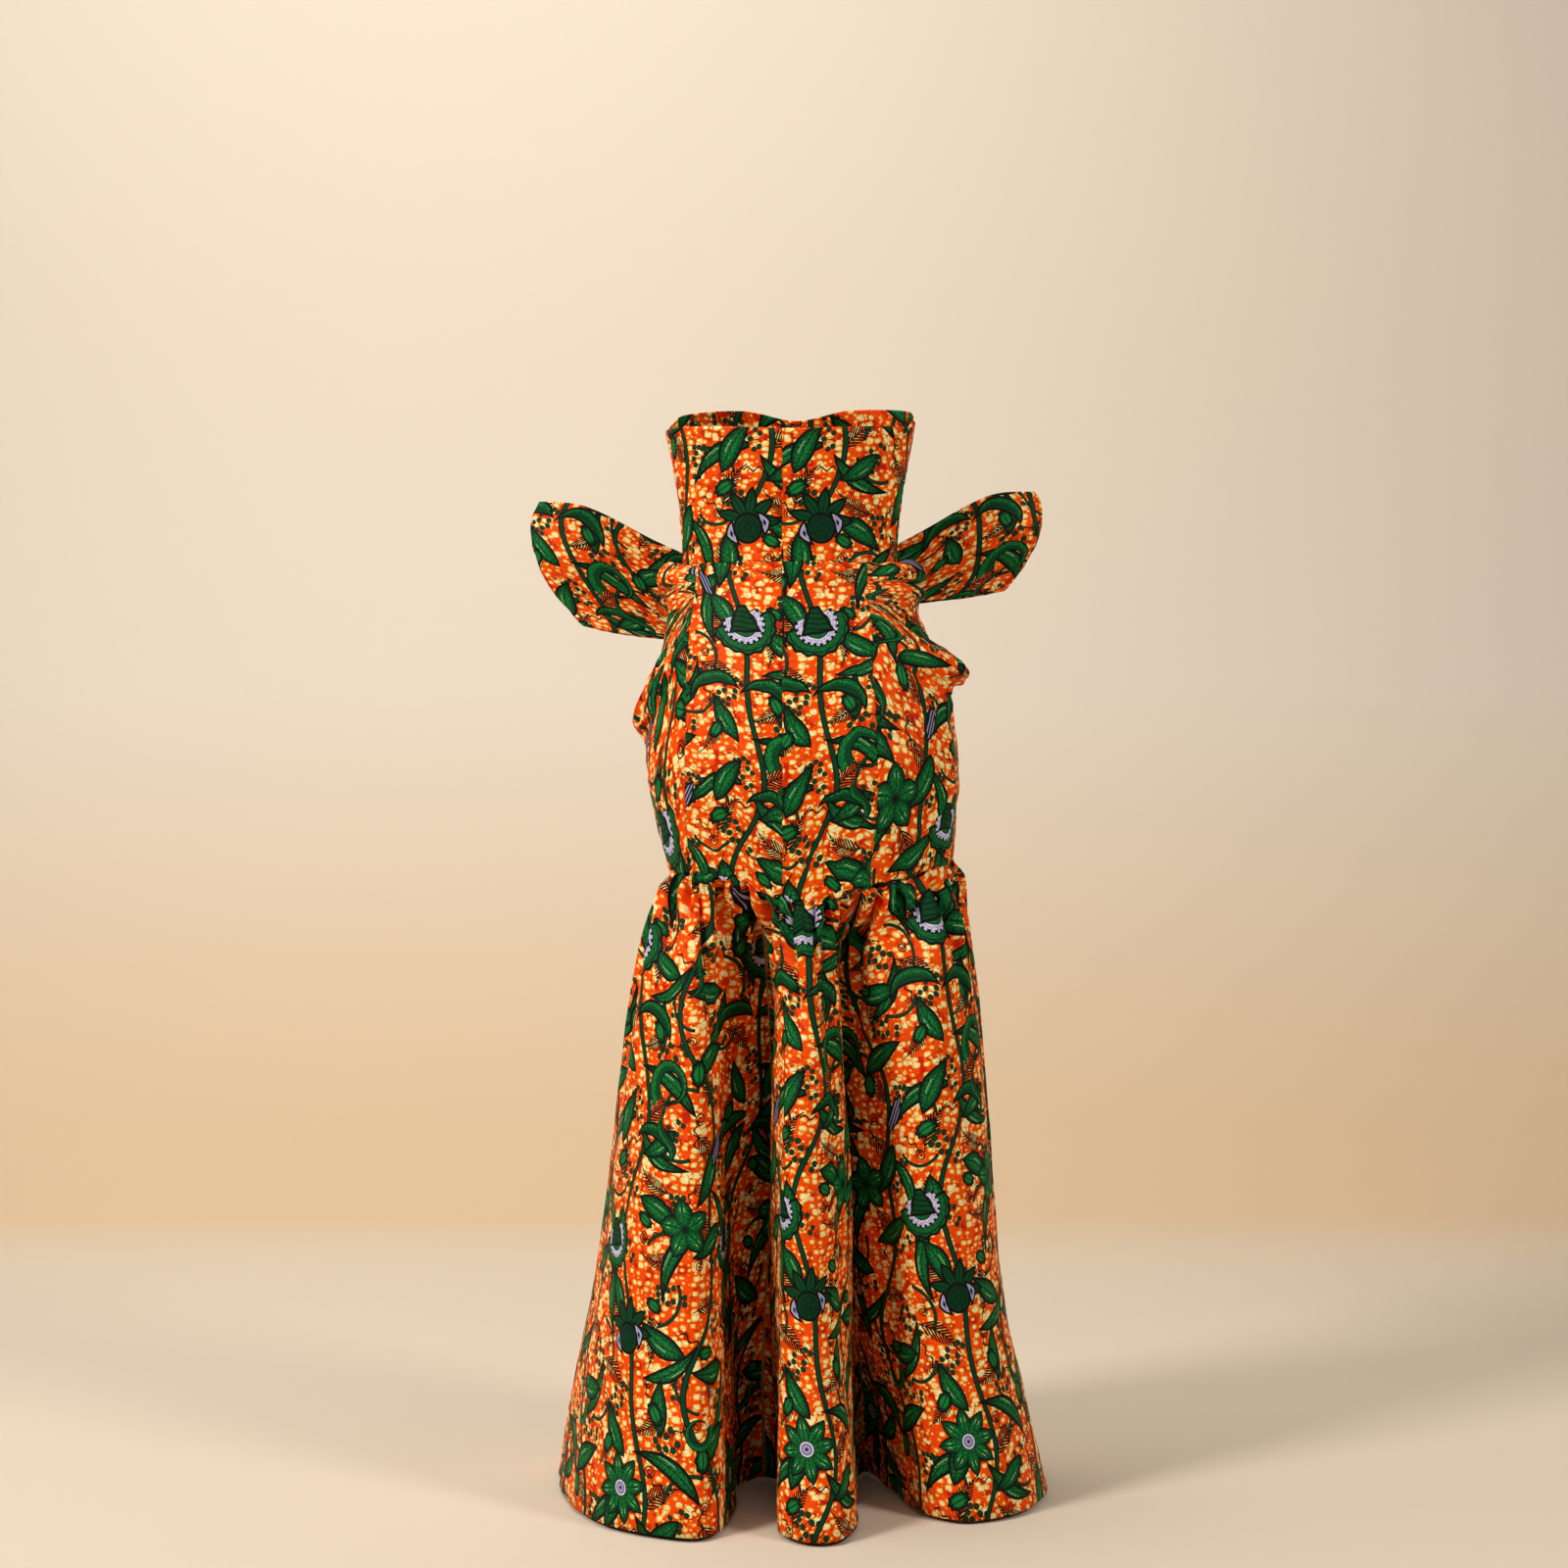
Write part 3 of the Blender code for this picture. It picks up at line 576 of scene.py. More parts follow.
def dab_depth(cloth, patches, across, up, least, spread):
    """Short dabs in uneven rows: above 0 inside one, and larger where patches is."""
    tree = cloth.tree
    stretched = tree.nodes.new("ShaderNodeMapping")
    feed(stretched.inputs["Vector"], cloth)
    stretched.inputs["Scale"].default_value = (1 / across, 1 / up, 1.0)
    cells = tree.nodes.new("ShaderNodeTexVoronoi")
    cells.voronoi_dimensions, cells.distance = "2D", "MINKOWSKI"
    cells.inputs["Exponent"].default_value = 3.0
    cells.inputs["Scale"].default_value, cells.inputs["Randomness"].default_value = 1.0, DAB_UNEVENNESS
    tree.links.new(stretched.outputs[0], cells.inputs["Vector"])
    parts = tree.nodes.new("ShaderNodeSeparateColor")
    tree.links.new(cells.outputs["Color"], parts.inputs[0])
    size = scaled(Ink(tree, parts.outputs[0]) * patches, spread, least)
    return size - Ink(tree, cells.outputs["Distance"])


def print_ground(cloth):
    """The orange ground with its cream dabs and fine brown cracks."""
    patches = scaled(mixed_noise(cloth, 55.0), 2.2, -0.35)
    red = clamped(scaled(mixed_noise(cloth, 60.0), 6.0, -3.1))
    colour = painted(GROUND_ORANGE, GROUND_RED, red)
    rough = scaled(mixed_noise(cloth, 900.0), 0.16, -0.08)
    for across, up, least, spread in DAB_ROWS:
        depth = dab_depth(cloth, patches, across, up, least, spread) + rough
        colour = painted(colour, DAB_YELLOW, clamped(scaled(depth, 12.0, 0.5)))
        colour = painted(colour, DAB_CREAM, clamped(scaled(depth, 9.0, -0.55)))
    crack = abs(mixed_noise(cloth, 130.0, 2.0) - 0.47)
    crack = both(crack < 0.01, patches > 0.82)
    return painted(colour, CRACKLE_BROWN, crack * 0.8)


def stamped(group_tree, x, y, colour, mottle):
    """A motif laid on the print, at its own x and y."""
    group = x.tree.nodes.new("ShaderNodeGroup")
    group.node_tree = group_tree
    for socket, value in (("X", x), ("Y", y), ("Under", colour), ("Mottle", mottle)):
        feed(group.inputs[socket], value)
    return Ink(x.tree, group.outputs[0])


def scattered(cloth, group_tree, cells, start, rows, colour, mottle):
    """One motif in each cell of the repeat, set by its row in the table."""
    tree = cloth.tree
    across, up = REPEAT[0] / cells[0], REPEAT[1] / cells[1]
    column = scaled(along_axis(cloth, (1 / across, 0.0, 0.0)), 1.0, start[0])
    whole = calc("FLOOR", column)
    half_up = scaled(calc("PINGPONG", whole, 1.0), 0.5, start[1])
    row = along_axis(cloth, (0.0, 1 / up, 0.0)) + half_up
    level = calc("FLOOR", row)
    in_x, in_y = column - whole - 0.5, row - level - 0.5
    place = calc("FLOORED_MODULO", whole, float(cells[0]))
    place = scaled(calc("FLOORED_MODULO", level, float(cells[1])), float(cells[0]), place)
    place = scaled(place, 1 / len(rows), 0.5 / len(rows))
    table = tree.nodes.new("ShaderNodeValToRGB")
    table.color_ramp.interpolation = "CONSTANT"
    elements = table.color_ramp.elements
    while len(elements) > 1:
        elements.remove(elements[-1])
    for index, (size, twelfths, aside, lift) in enumerate(rows):
        element = elements[0] if index == 0 else elements.new(index / len(rows))
        element.position = index / len(rows)
        element.color = (size / 2, twelfths / 12, aside / 100 + 0.5, lift / 100 + 0.5)
    feed(table.inputs[0], place)
    parts = tree.nodes.new("ShaderNodeSeparateColor")
    tree.links.new(table.outputs["Color"], parts.inputs[0])
    size, twelfths, aside = (Ink(tree, parts.outputs[i]) for i in range(3))
    x = scaled(aside, -10.0, scaled(in_x, across * 100, 5.0))
    y = scaled(Ink(tree, table.outputs["Alpha"]), -10.0, scaled(in_y, up * 100, 5.0))
    turn = twelfths * (2 * math.pi)
    cosine, sine = calc("COSINE", turn), calc("SINE", turn)
    grow = 0.5 / larger(size, 0.001)
    turned_x = scaled(x, cosine, y * sine)
    turned_y = y * cosine - x * sine
    return stamped(group_tree, turned_x * grow, turned_y * grow, colour, mottle)


def print_colour(cloth):
    """The printed colour at a place on the cloth, in metres along u and v."""
    mottle = clamped(scaled(mixed_noise(cloth, 420.0), 3.0, -1.0))
    u, v = along_axis(cloth, (1.0, 0.0, 0.0)), along_axis(cloth, (0.0, 1.0, 0.0))
    colour = print_ground(cloth)
    drawn = {
        "leaf": leaf_motif("print leaf", 2.3, 0.85, 0.30, 0.30, 2.2),
        "blade": leaf_motif("print blade", 3.0, 0.62, 0.95, -0.30, 1.7),
        "star": star_motif("print star flower", 8, 3.5, 0.86, 0.84),
        "bloom": star_motif("print leafy bloom", 5, 2.9, 1.05, 0.0),
        "crown": crown_motif("print crown flower"),
        "bell": bell_motif("print bell flower"),
        "bud": bud_motif("print bud"),
        "berries": berries_motif("print berries"),
        "fern": fern_motif("print fern"),
        "tendril": tendril_motif("print tendril"),
        "crook": crook_motif("print crook"),
        "arch": arch_motif("print arched leaf"),
        "swan": swan_motif("print swan stem"),
        "branch": branch_motif("print branch"),
        "oval": oval_motif("print oval leaf"),
    }
    for kind, cells, start, rows in SCATTERED[:UNDER_STEMS]:
        colour = scattered(cloth, drawn[kind], cells, start, rows, colour, mottle)
    rise = v * (2 * math.pi / REPEAT[1])
    for stand, long_wave, long_start, short_wave, short_start in STEMS:
        bend = calc("SINE", rise + long_start) * (long_wave * -0.1)
        twist = calc("SINE", scaled(rise, 2.0, short_start))
        bend = scaled(twist, short_wave * -0.1, bend)
        aside = scaled(u, 100.0, -0.1 * stand) + bend
        aside = calc("WRAP", aside, REPEAT[0] * 50, REPEAT[0] * -50)
        colour = filled(colour, STEM_HALF_WIDTH - abs(aside), STEM_GREEN, STEM_OUTLINE)
    for kind, cells, start, rows in SCATTERED[UNDER_STEMS:]:
        colour = scattered(cloth, drawn[kind], cells, start, rows, colour, mottle)
    for kind, at_u, at_v, turn, size in FLOWERS:
        x = calc("WRAP", u - at_u * 0.001, REPEAT[0] / 2, -REPEAT[0] / 2)
        y = calc("WRAP", v - at_v * 0.001, FLOWER_REPEAT / 2, -FLOWER_REPEAT / 2)
        cosine, sine = math.cos(math.radians(turn)) * 100 / size, math.sin(math.radians(turn)) * 100 / size
        turned_x = scaled(x, cosine, y * sine)
        turned_y = scaled(y, cosine, x * -sine)
        colour = stamped(drawn[kind], turned_x, turned_y, colour, mottle)
    return colour


def grained(tree, scale, detail, strength, height):
    """Gives a material an uneven surface."""
    place, grain = tree.nodes.new("ShaderNodeTexCoord"), tree.nodes.new("ShaderNodeTexNoise")
    grain.inputs["Scale"].default_value, grain.inputs["Detail"].default_value = scale, detail
    tree.links.new(place.outputs["Object"], grain.inputs["Vector"])
    bump = tree.nodes.new("ShaderNodeBump")
    bump.inputs["Strength"].default_value, bump.inputs["Distance"].default_value = strength, height
    tree.links.new(grain.outputs["Fac"], bump.inputs["Height"])
    tree.links.new(bump.outputs[0], tree.nodes["Principled BSDF"].inputs["Normal"])


def cotton():
    """The printed cotton, with faint handling creases."""
    material, tree, shader = new_material("wax_print_cotton_printed")
    laid = tree.nodes.new("ShaderNodeUVMap")
    laid.uv_map = "cloth"
    feed(shader.inputs["Base Color"], print_colour(Ink(tree, laid.outputs[0])))
    shader.inputs["Roughness"].default_value = COTTON_ROUGHNESS
    shader.inputs["Specular IOR Level"].default_value = COTTON_SHINE
    grained(tree, CRUMPLE_SCALE, CRUMPLE_DETAIL, CRUMPLE_STRENGTH, CRUMPLE_HEIGHT)
    return material


COTTON = cotton()

# The back: two bodice backs, each with a dart up from the waist, and two skirt backs that hang from them,
# all of the printed cotton. They are sewn at the centre back, the sides and the princess seams. A shown
# piece is one thin layer on its solid's outer face, and it laps its neighbours a little.
CLOTH = 0.0009  # the shown thickness of one layer
SEAM_GAP = -0.0006  # the shown panels lap, where the solids stand apart
BODY_RADIUS = 0.13
CENTRE_BACK_X, SIDE_TURN = -0.009, 90.0
BODY = (  # height, middle across, half width, depth behind and in front, squareness
    (-0.400, 0.025, 0.164, 0.112, 0.096, 2.15), (-0.360, 0.025, 0.166, 0.115, 0.098, 2.15),
    (-0.300, 0.019, 0.176, 0.127, 0.101, 2.15), (-0.244, 0.016, 0.183, 0.134, 0.103, 2.15),
    (-0.180, 0.014, 0.177, 0.128, 0.103, 2.15), (-0.130, 0.013, 0.170, 0.117, 0.101, 2.15),
    (-0.080, 0.007, 0.154, 0.103, 0.096, 2.10), (-0.040, 0.002, 0.137, 0.092, 0.091, 2.05),
    (0.000, 0.000, 0.126, 0.085, 0.087, 2.05), (0.045, 0.000, 0.128, 0.086, 0.094, 2.10),
    (0.090, 0.000, 0.133, 0.091, 0.108, 2.15), (0.152, 0.000, 0.1445, 0.099, 0.116, 2.20),
    (0.196, -0.002, 0.151, 0.103, 0.108, 2.20),
)
CUP_RISE, CUP_ANGLE, CUP_HEIGHT = 0.020, 34.0, 0.118
CUP_SPREAD, CUP_TALL = 21.0, 0.048
TOP_EDGE = (  # angle from behind and height
    (-98.0, 0.1620), (-62.0, 0.1560), (-30.0, 0.1520), (0.0, 0.1500), (30.0, 0.1520), (58.0, 0.1560),
    (82.0, 0.1620), (104.0, 0.1860), (142.0, 0.1960), (175.0, 0.1850), (208.0, 0.1960), (242.0, 0.1860),
)
PRINCESS = (  # height, turn from the centre back and from the centre front
    (-0.400, 50.0, 46.0), (-0.244, 45.0, 44.0), (-0.140, 48.0, 46.0), (-0.060, 56.0, 49.0),
    (0.000, 62.0, 51.0),
)
FLOUNCE_SEAM = (  # angle from behind and height
    (-90.0, -0.359), (-60.0, -0.357), (-35.0, -0.368), (-20.0, -0.385), (-9.0, -0.393), (6.0, -0.386),
    (25.0, -0.377), (45.0, -0.371), (70.0, -0.352), (95.0, -0.345), (180.0, -0.352),
)
SEAM_WAVERS = ((0.0022, 17, 0.0), (0.0012, 41, 1.0))
PUCKER_RISE, PUCKER_WIDTH, PUCKER_REACH = 0.0010, 0.013, 0.016
SEAM_DIP, SEAM_DIP_REACH = 0.0007, 0.0013
PULL_WIDTH, PULL_LENGTH, PULL_REACH = 0.012, 0.07, 0.045
DART_LENGTH, DART_DEPTH, DART_HALF_WIDTH = 0.065, 0.0018, 0.0026
DART_LIP_RISE, DART_LIP_OFF, DART_LIP_WIDTH = 0.0010, 0.006, 0.004
PINCH_RISE, PINCH_FOLDS, PINCH_REACH, PINCH_EYE = 0.0040, 9.0, 0.075, (0.004, 0.030)
BODICE_BACK_SIZE, SKIRT_BACK_SIZE = (0.19, 0.15), (0.14, 0.37)
BACKS = {  # the edge that is the centre back, its print on bodice and skirt, the creases' seeds, the dart
    "left": (1.0, 0.095, 0.105, 11, 31, (0.108, -0.15)),
    "right": (0.0, 0.010, 0.020, 23, 47, (0.082, 0.15)),
}


def between(t, low, leave, high, arrive):
    """The value at t, from 0 to 1, on the curve that leaves low and arrives at high as steeply as told."""
    return (
        (2 * t**3 - 3 * t**2 + 1) * low
        + (t**3 - 2 * t**2 + t) * leave
        + (3 * t**2 - 2 * t**3) * high
        + (t**3 - t**2) * arrive
    )


def smooth(rows, key, column):
    """The column's value at key, on a smooth curve through the rows, whose first column only rises."""
    i = 0
    while i < len(rows) - 2 and key > rows[i + 1][0]:
        i += 1
    before, low, high = rows[max(i - 1, 0)], rows[i], rows[i + 1]
    after = rows[min(i + 2, len(rows) - 1)]
    span = high[0] - low[0]
    t = min(max((key - low[0]) / span, 0.0), 1.0)
    leave = (high[column] - before[column]) / (high[0] - before[0]) * span
    arrive = (after[column] - low[column]) / (after[0] - low[0]) * span
    return between(t, low[column], leave, high[column], arrive)


def round_body(rows, angle):
    """The height at an angle, on a table that goes once round the body."""
    before, after = (tuple((row[0] + turn, row[1]) for row in rows) for turn in (-360.0, 360.0))
    return smooth(before + rows + after, angle, 1)


def skin(angle, height, stand_off=0.0):
    """The point of the fitted cloth at an angle and a height, moved out by stand_off."""
    centre_x, half_width, back, front, squareness = (smooth(BODY, height, c) for c in range(1, 6))
    turn = math.radians(angle)
    across, along = math.sin(turn), math.cos(turn)
    depth = back if along > 0 else front
    flat = abs(across / half_width) ** squareness + abs(along / depth) ** squareness
    from_front = angle % 360.0 - 180.0
    cup = sum(math.exp(-(((from_front - side * CUP_ANGLE) / CUP_SPREAD) ** 2)) for side in (-1, 1))
    radius = flat ** (-1.0 / squareness)
    radius += CUP_RISE * cup * math.exp(-(((height - CUP_HEIGHT) / CUP_TALL) ** 2)) + stand_off
    return Vector((centre_x + radius * across, -radius * along, height))


def centre_back_angle(height):
    """Where the centre back seam lies at a height: it hangs straight while the hips lean to the right."""
    return math.degrees(math.atan2(CENTRE_BACK_X - smooth(BODY, height, 1), smooth(BODY, height, 3)))


def short_of_seam(share, length):
    """The share of a panel's width that leaves half a seam gap at each end."""
    inset = 0.5 * SEAM_GAP / length
    return inset + (1.0 - 2.0 * inset) * share


def side_turn(height):
    return SIDE_TURN


def princess_turn(height):
    return smooth(PRINCESS, height, 1)


def back_seams(side, turn_at):
    """The angles of a back panel's seams: the centre back, and one that lies turn_at a height from it."""

    def sides(height):
        start, turn = centre_back_angle(height), turn_at(height)
        return (start, start + turn) if side == "right" else (start - turn, start)

    return sides


def waist(angle):
    return 0.0


def top_edge(angle):
    return round_body(TOP_EDGE, angle)


SEAM_HEIGHTS = [  # of the flounce's seam at each half degree, with its corners rounded
    sum(round_body(FLOUNCE_SEAM, step * 0.5 + turn) for turn in range(-10, 12, 3)) / 8 for step in range(720)
]


def seam_line(angle):
    """The height of the flounce's seam, with a slight waver."""
    place = 2.0 * angle % 720.0
    low = int(place)
    height = SEAM_HEIGHTS[low] + (SEAM_HEIGHTS[(low + 1) % 720] - SEAM_HEIGHTS[low]) * (place - low)
    turn = math.radians(angle)
    return height + sum(rise * math.sin(turn * waves + start) for rise, waves, start in SEAM_WAVERS)


def panel_place(sides, top, bottom):
    """A fitted panel between two seams, whose angles sides gives, from its top edge to its bottom edge."""

    def place(across, down):
        height = 0.5 * (top(0.0) + bottom(0.0))
        for _ in range(4):
            start, end = sides(height)
            angle = start + (end - start) * short_of_seam(across, BODY_RADIUS * math.radians(end - start))
            high, low = top(angle) - 0.5 * SEAM_GAP, bottom(angle) + 0.5 * SEAM_GAP
            height = high + (low - high) * down
        return skin(angle, height)

    return place


def bump_at(off, half_width):
    """1 at a crease's middle, falling away to its sides."""
    return math.exp(-((off / half_width) ** 2))


def ramp(value, low, high):
    """0 below low, 1 above high, and a smooth rise between."""
    t = min(max((value - low) / (high - low), 0.0), 1.0)
    return t * t * (3.0 - 2.0 * t)


def ripple(x, y, seed, size):
    """Soft uneven creases in metres of cloth, about as wide as size."""
    return noise.noise(Vector((x / size, y / size, seed)))


def seam_edge(distance):
    """The cloth turns in at a seam: its face dips over the last millimetres."""
    return -SEAM_DIP * math.exp(-max(distance, 0.0) / SEAM_DIP_REACH)


def panel_relief(width, length, seed, crease=0.0009, top_pull=0.0, side_seams=True, pinch=None, dart=None):
    """Creases for a panel: faint ones all over, puckers along its seams, pulls below its top, a dart's
    groove up from its bottom and, from a pinch, creases that run out like a fan."""

    def relief(across, down, u, v):
        move = crease * ripple(u * 0.55, v, seed, 0.020) + 0.6 * crease * ripple(u, v, seed + 5, 0.011)
        left, right = across * width, (1.0 - across) * width
        up, low = down * length, (1.0 - down) * length
        side_edges = [(left, v), (right, v)] if side_seams else []
        for distance, along in side_edges + [(up, u), (low, u)]:
            move += seam_edge(distance)
            pucker = ripple(along * 1.6, distance * 0.25, seed + 9, PUCKER_WIDTH)
            move += PUCKER_RISE * pucker * math.exp(-distance / PUCKER_REACH)
        if dart and low < DART_LENGTH:
            off = left - dart[0] - dart[1] * low
            groove = DART_LIP_RISE * bump_at(off - DART_LIP_OFF, DART_LIP_WIDTH)
            groove -= DART_DEPTH * bump_at(off, DART_HALF_WIDTH)
            move += groove * (1.0 - low / DART_LENGTH)
        if pinch:
            out, below = (across - pinch[0]) * width, (down - pinch[1]) * length
            away, turn = math.hypot(out, below), math.atan2(below, out)
            fan = math.sin(PINCH_FOLDS * turn + 1.3 * math.sin(2.0 * turn + seed))
            move += PINCH_RISE * fan * math.exp(-away / PINCH_REACH) * ramp(away, *PINCH_EYE)
        if top_pull:
            pull = noise.noise(Vector((u / PULL_WIDTH, v / PULL_LENGTH, seed + 3)))
            move += top_pull * pull * math.exp(-up / PULL_REACH)
        return move

    return relief


def lengths_along(points):
    """The length of the line from its start to each of its points."""
    lengths = [0.0]
    for a, b in zip(points, points[1:]):
        lengths.append(lengths[-1] + (b - a).length)
    return lengths


def laid_out(grain, start):
    """Cloth coordinates for a panel: across, the length along each row from the grain column; down, the
    length along that column. Start is the print's place at the grain column's top."""

    def coordinates(table):
        middle = round(grain * (len(table[0]) - 1))
        result, v = [], start[1]
        for j, row in enumerate(table):
            if j:
                v -= (row[middle] - table[j - 1][middle]).length
            along = lengths_along(row)
            result.append([(start[0] + s - along[middle], v) for s in along])
        return result

    return coordinates


def cloth(name, columns, rows, place, relief, printed, joined=False):
    """Sews one piece: a fine grid laid where place says, with the cloth's own coordinates from printed as
    its UVs, and moved along its normal by relief. Joined closes it where its ends meet."""
    grid = bmesh.new()
    bmesh.ops.create_grid(grid, x_segments=columns, y_segments=rows, size=0.5)
    table = [[None] * (columns + 1) for _ in range(rows + 1)]
    shares = {vert: (vert.co.x + 0.5, 0.5 - vert.co.y) for vert in grid.verts}
    for vert, (across, down) in shares.items():
        vert.co = place(across, down)
        table[round(down * rows)][round(across * columns)] = vert
    coordinates = printed([[vert.co.copy() for vert in row] for row in table])
    uv = grid.loops.layers.uv.new("cloth")
    spot = {vert: coordinates[j][i] for j, row in enumerate(table) for i, vert in enumerate(row)}
    for face in grid.faces:
        for loop in face.loops:
            loop[uv].uv = spot[loop.vert]
    grid.normal_update()
    moves = {vert: vert.normal * relief(*shares[vert], *spot[vert]) for vert in grid.verts}
    for vert, move in moves.items():
        vert.co += move
    if joined:
        bmesh.ops.remove_doubles(grid, verts=grid.verts, dist=0.00005)
    mesh = bpy.data.meshes.new(name)
    grid.to_mesh(mesh)
    grid.free()
    mesh.shade_smooth()
    mesh.materials.append(COTTON)
    piece = placed(name + "_cloth", mesh)
    solidify = piece.modifiers.new("thickness", "SOLIDIFY")
    solidify.thickness, solidify.offset = CLOTH, -1.0
    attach(piece, "root")
    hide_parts(name)
    return piece


for side, (centre, bodice_print, skirt_print, bodice_seed, skirt_seed, dart) in BACKS.items():
    piece = cloth(f"bodice_back_{side}", 84, 64, panel_place(back_seams(side, side_turn), top_edge, waist),
                  panel_relief(*BODICE_BACK_SIZE, bodice_seed, crease=0.0008, dart=dart),
                  laid_out(centre, (bodice_print, 0.852)))
    piece = cloth(f"skirt_back_{side}", 76, 170,
                  panel_place(back_seams(side, princess_turn), waist, seam_line),
                  panel_relief(*SKIRT_BACK_SIZE, skirt_seed, crease=0.0011, top_pull=0.0034),
                  laid_out(centre, (skirt_print, 0.700)))

# The front: one bodice front from side seam to side seam, shaped over the bust, and one skirt front between
# the princess seams, both of the printed cotton and sewn to each other at the waist
BODICE_FRONT_SIZE, SKIRT_FRONT_SIZE = (0.40, 0.18), (0.20, 0.35)


def bodice_front(height):
    start = centre_back_angle(height) + SIDE_TURN
    return start, start + 360.0 - 2 * SIDE_TURN


def skirt_front(height):
    middle, turn = centre_back_angle(height) + 180.0, smooth(PRINCESS, height, 2)
    return middle - turn, middle + turn


piece = cloth("bodice_front", 170, 76, panel_place(bodice_front, top_edge, waist),
              panel_relief(*BODICE_FRONT_SIZE, 61), laid_out(0.5, (0.10, 0.860)))
piece = cloth("skirt_front", 84, 150, panel_place(skirt_front, waist, seam_line),
              panel_relief(*SKIRT_FRONT_SIZE, 71), laid_out(0.5, (0.05, 0.690)))

# The skirt's sides: one panel of the printed cotton over each hip, cut longer than the skirt and caught
# into the princess seams, so that it falls in three loose cowl folds
SIDE_PANEL_SIZE, SIDE_PANEL_WIDTH = (0.24, 0.45), 0.17
COWL_ROWS = 0.67  # the share of the panel that is in folds
COWL_SAG, COWL_ROUNDNESS = {"left": 1.1, "right": 1.7}, 1.2
# How far down the folds, how far out, and the height over the hip and at the princess seams. The cloth
# stands out most in the puff under the waist, the middle fold and the lowest fold's rim.
COWLS = {
    "right": (
        (0.00, 0.000, 0.000, 0.000), (0.09, 0.019, 0.007, -0.007), (0.17, 0.032, -0.004, -0.013),
        (0.24, 0.029, -0.017, -0.019), (0.31, 0.012, -0.021, -0.024), (0.37, 0.022, -0.026, -0.029),
        (0.44, 0.023, -0.036, -0.034), (0.51, 0.010, -0.044, -0.039), (0.59, 0.000, -0.070, -0.044),
        (0.67, 0.001, -0.106, -0.049), (0.73, 0.016, -0.108, -0.055), (0.80, 0.026, -0.118, -0.062),
        (0.87, 0.026, -0.132, -0.070), (0.93, 0.010, -0.142, -0.082), (1.00, 0.000, -0.152, -0.098),
    ),
    "left": (
        (0.00, 0.000, 0.000, 0.000), (0.09, 0.019, 0.007, -0.007), (0.17, 0.031, -0.006, -0.013),
        (0.24, 0.027, -0.022, -0.018), (0.31, 0.011, -0.026, -0.023), (0.37, 0.019, -0.032, -0.027),
        (0.44, 0.020, -0.044, -0.032), (0.51, 0.008, -0.054, -0.036), (0.59, 0.000, -0.086, -0.040),
        (0.67, -0.006, -0.140, -0.044), (0.73, 0.001, -0.154, -0.049), (0.80, 0.014, -0.168, -0.055),
        (0.87, 0.021, -0.188, -0.063), (0.93, 0.012, -0.204, -0.076), (1.00, 0.001, -0.216, -0.094),
    ),
}
SIDE_PANELS = {"left": (83, (0.55, 0.62), 0.13), "right": (97, (0.45, 0.60), 0.04)}  # seed, pinch and print


def side_angle(side, height, from_back):
    """The angle of a point of the side panel, at a share of its width from its back seam."""
    sign = 1.0 if side == "right" else -1.0
    back, front = smooth(PRINCESS, height, 1), 180.0 - smooth(PRINCESS, height, 2)
    return centre_back_angle(height) + sign * (back + (front - back) * from_back)


def cowl_place(side):
    """A side panel: its folds hang lowest over the hip, and below them it is fitted down to the flounce."""

    def place(across, down):
        share = short_of_seam(across, SIDE_PANEL_WIDTH)
        from_back = share if side == "right" else 1.0 - share
        arch = max(math.sin(math.pi * from_back), 0.0)
        below = max(down - COWL_ROWS, 0.0) / (1.0 - COWL_ROWS)
        folds = min(down / COWL_ROWS, 1.0)
        stand_off, side_level, caught_level = (smooth(COWLS[side], folds, column) for column in (1, 2, 3))
        swell = arch**COWL_ROUNDNESS
        if stand_off < 0.0:
            swell = swell**3
        height = caught_level + (side_level - caught_level) * arch ** COWL_SAG[side] - 0.5 * SEAM_GAP
        end = seam_line(side_angle(side, height, from_back)) + 0.5 * SEAM_GAP
        height += (end - height) * below
        return skin(side_angle(side, height, from_back), height, stand_off * swell * (1.0 - below))

    return place


for side, (seed, pinch, print_across) in SIDE_PANELS.items():
    piece = cloth(f"skirt_side_{side}", 92, 200, cowl_place(side),
                  panel_relief(*SIDE_PANEL_SIZE, seed, crease=0.0014, top_pull=0.004, pinch=pinch),
                  laid_out(0.5, (print_across, 0.700)))

# The flounce: two flared halves of the printed cotton, gathered to the skirt's lower edge with their raw
# edge tucked under it, joined at the side seams and hemmed just clear of the floor. The fullness hangs in
# three deep lobes behind and three in front, and the cloth is drawn in to a shadowed valley between two.
HEM, CURVE_STEPS = -1.073, 14
BACK_HEM = (  # x and y, from the left side seam over the left, centre and right lobes
    (-0.272, 0.095), (-0.268, -0.010), (-0.248, -0.110), (-0.205, -0.192), (-0.146, -0.238),
    (-0.100, -0.250), (-0.078, -0.225), (-0.064, -0.130), (-0.062, -0.015), (-0.038, 0.022),
    (-0.014, -0.015), (-0.014, -0.130), (-0.011, -0.225), (0.010, -0.262), (0.034, -0.270), (0.058, -0.256),
    (0.072, -0.203), (0.078, -0.090), (0.080, 0.020), (0.094, 0.050), (0.112, 0.010), (0.128, -0.080),
    (0.156, -0.152), (0.200, -0.178), (0.255, -0.145), (0.290, -0.075), (0.299, 0.000),
)
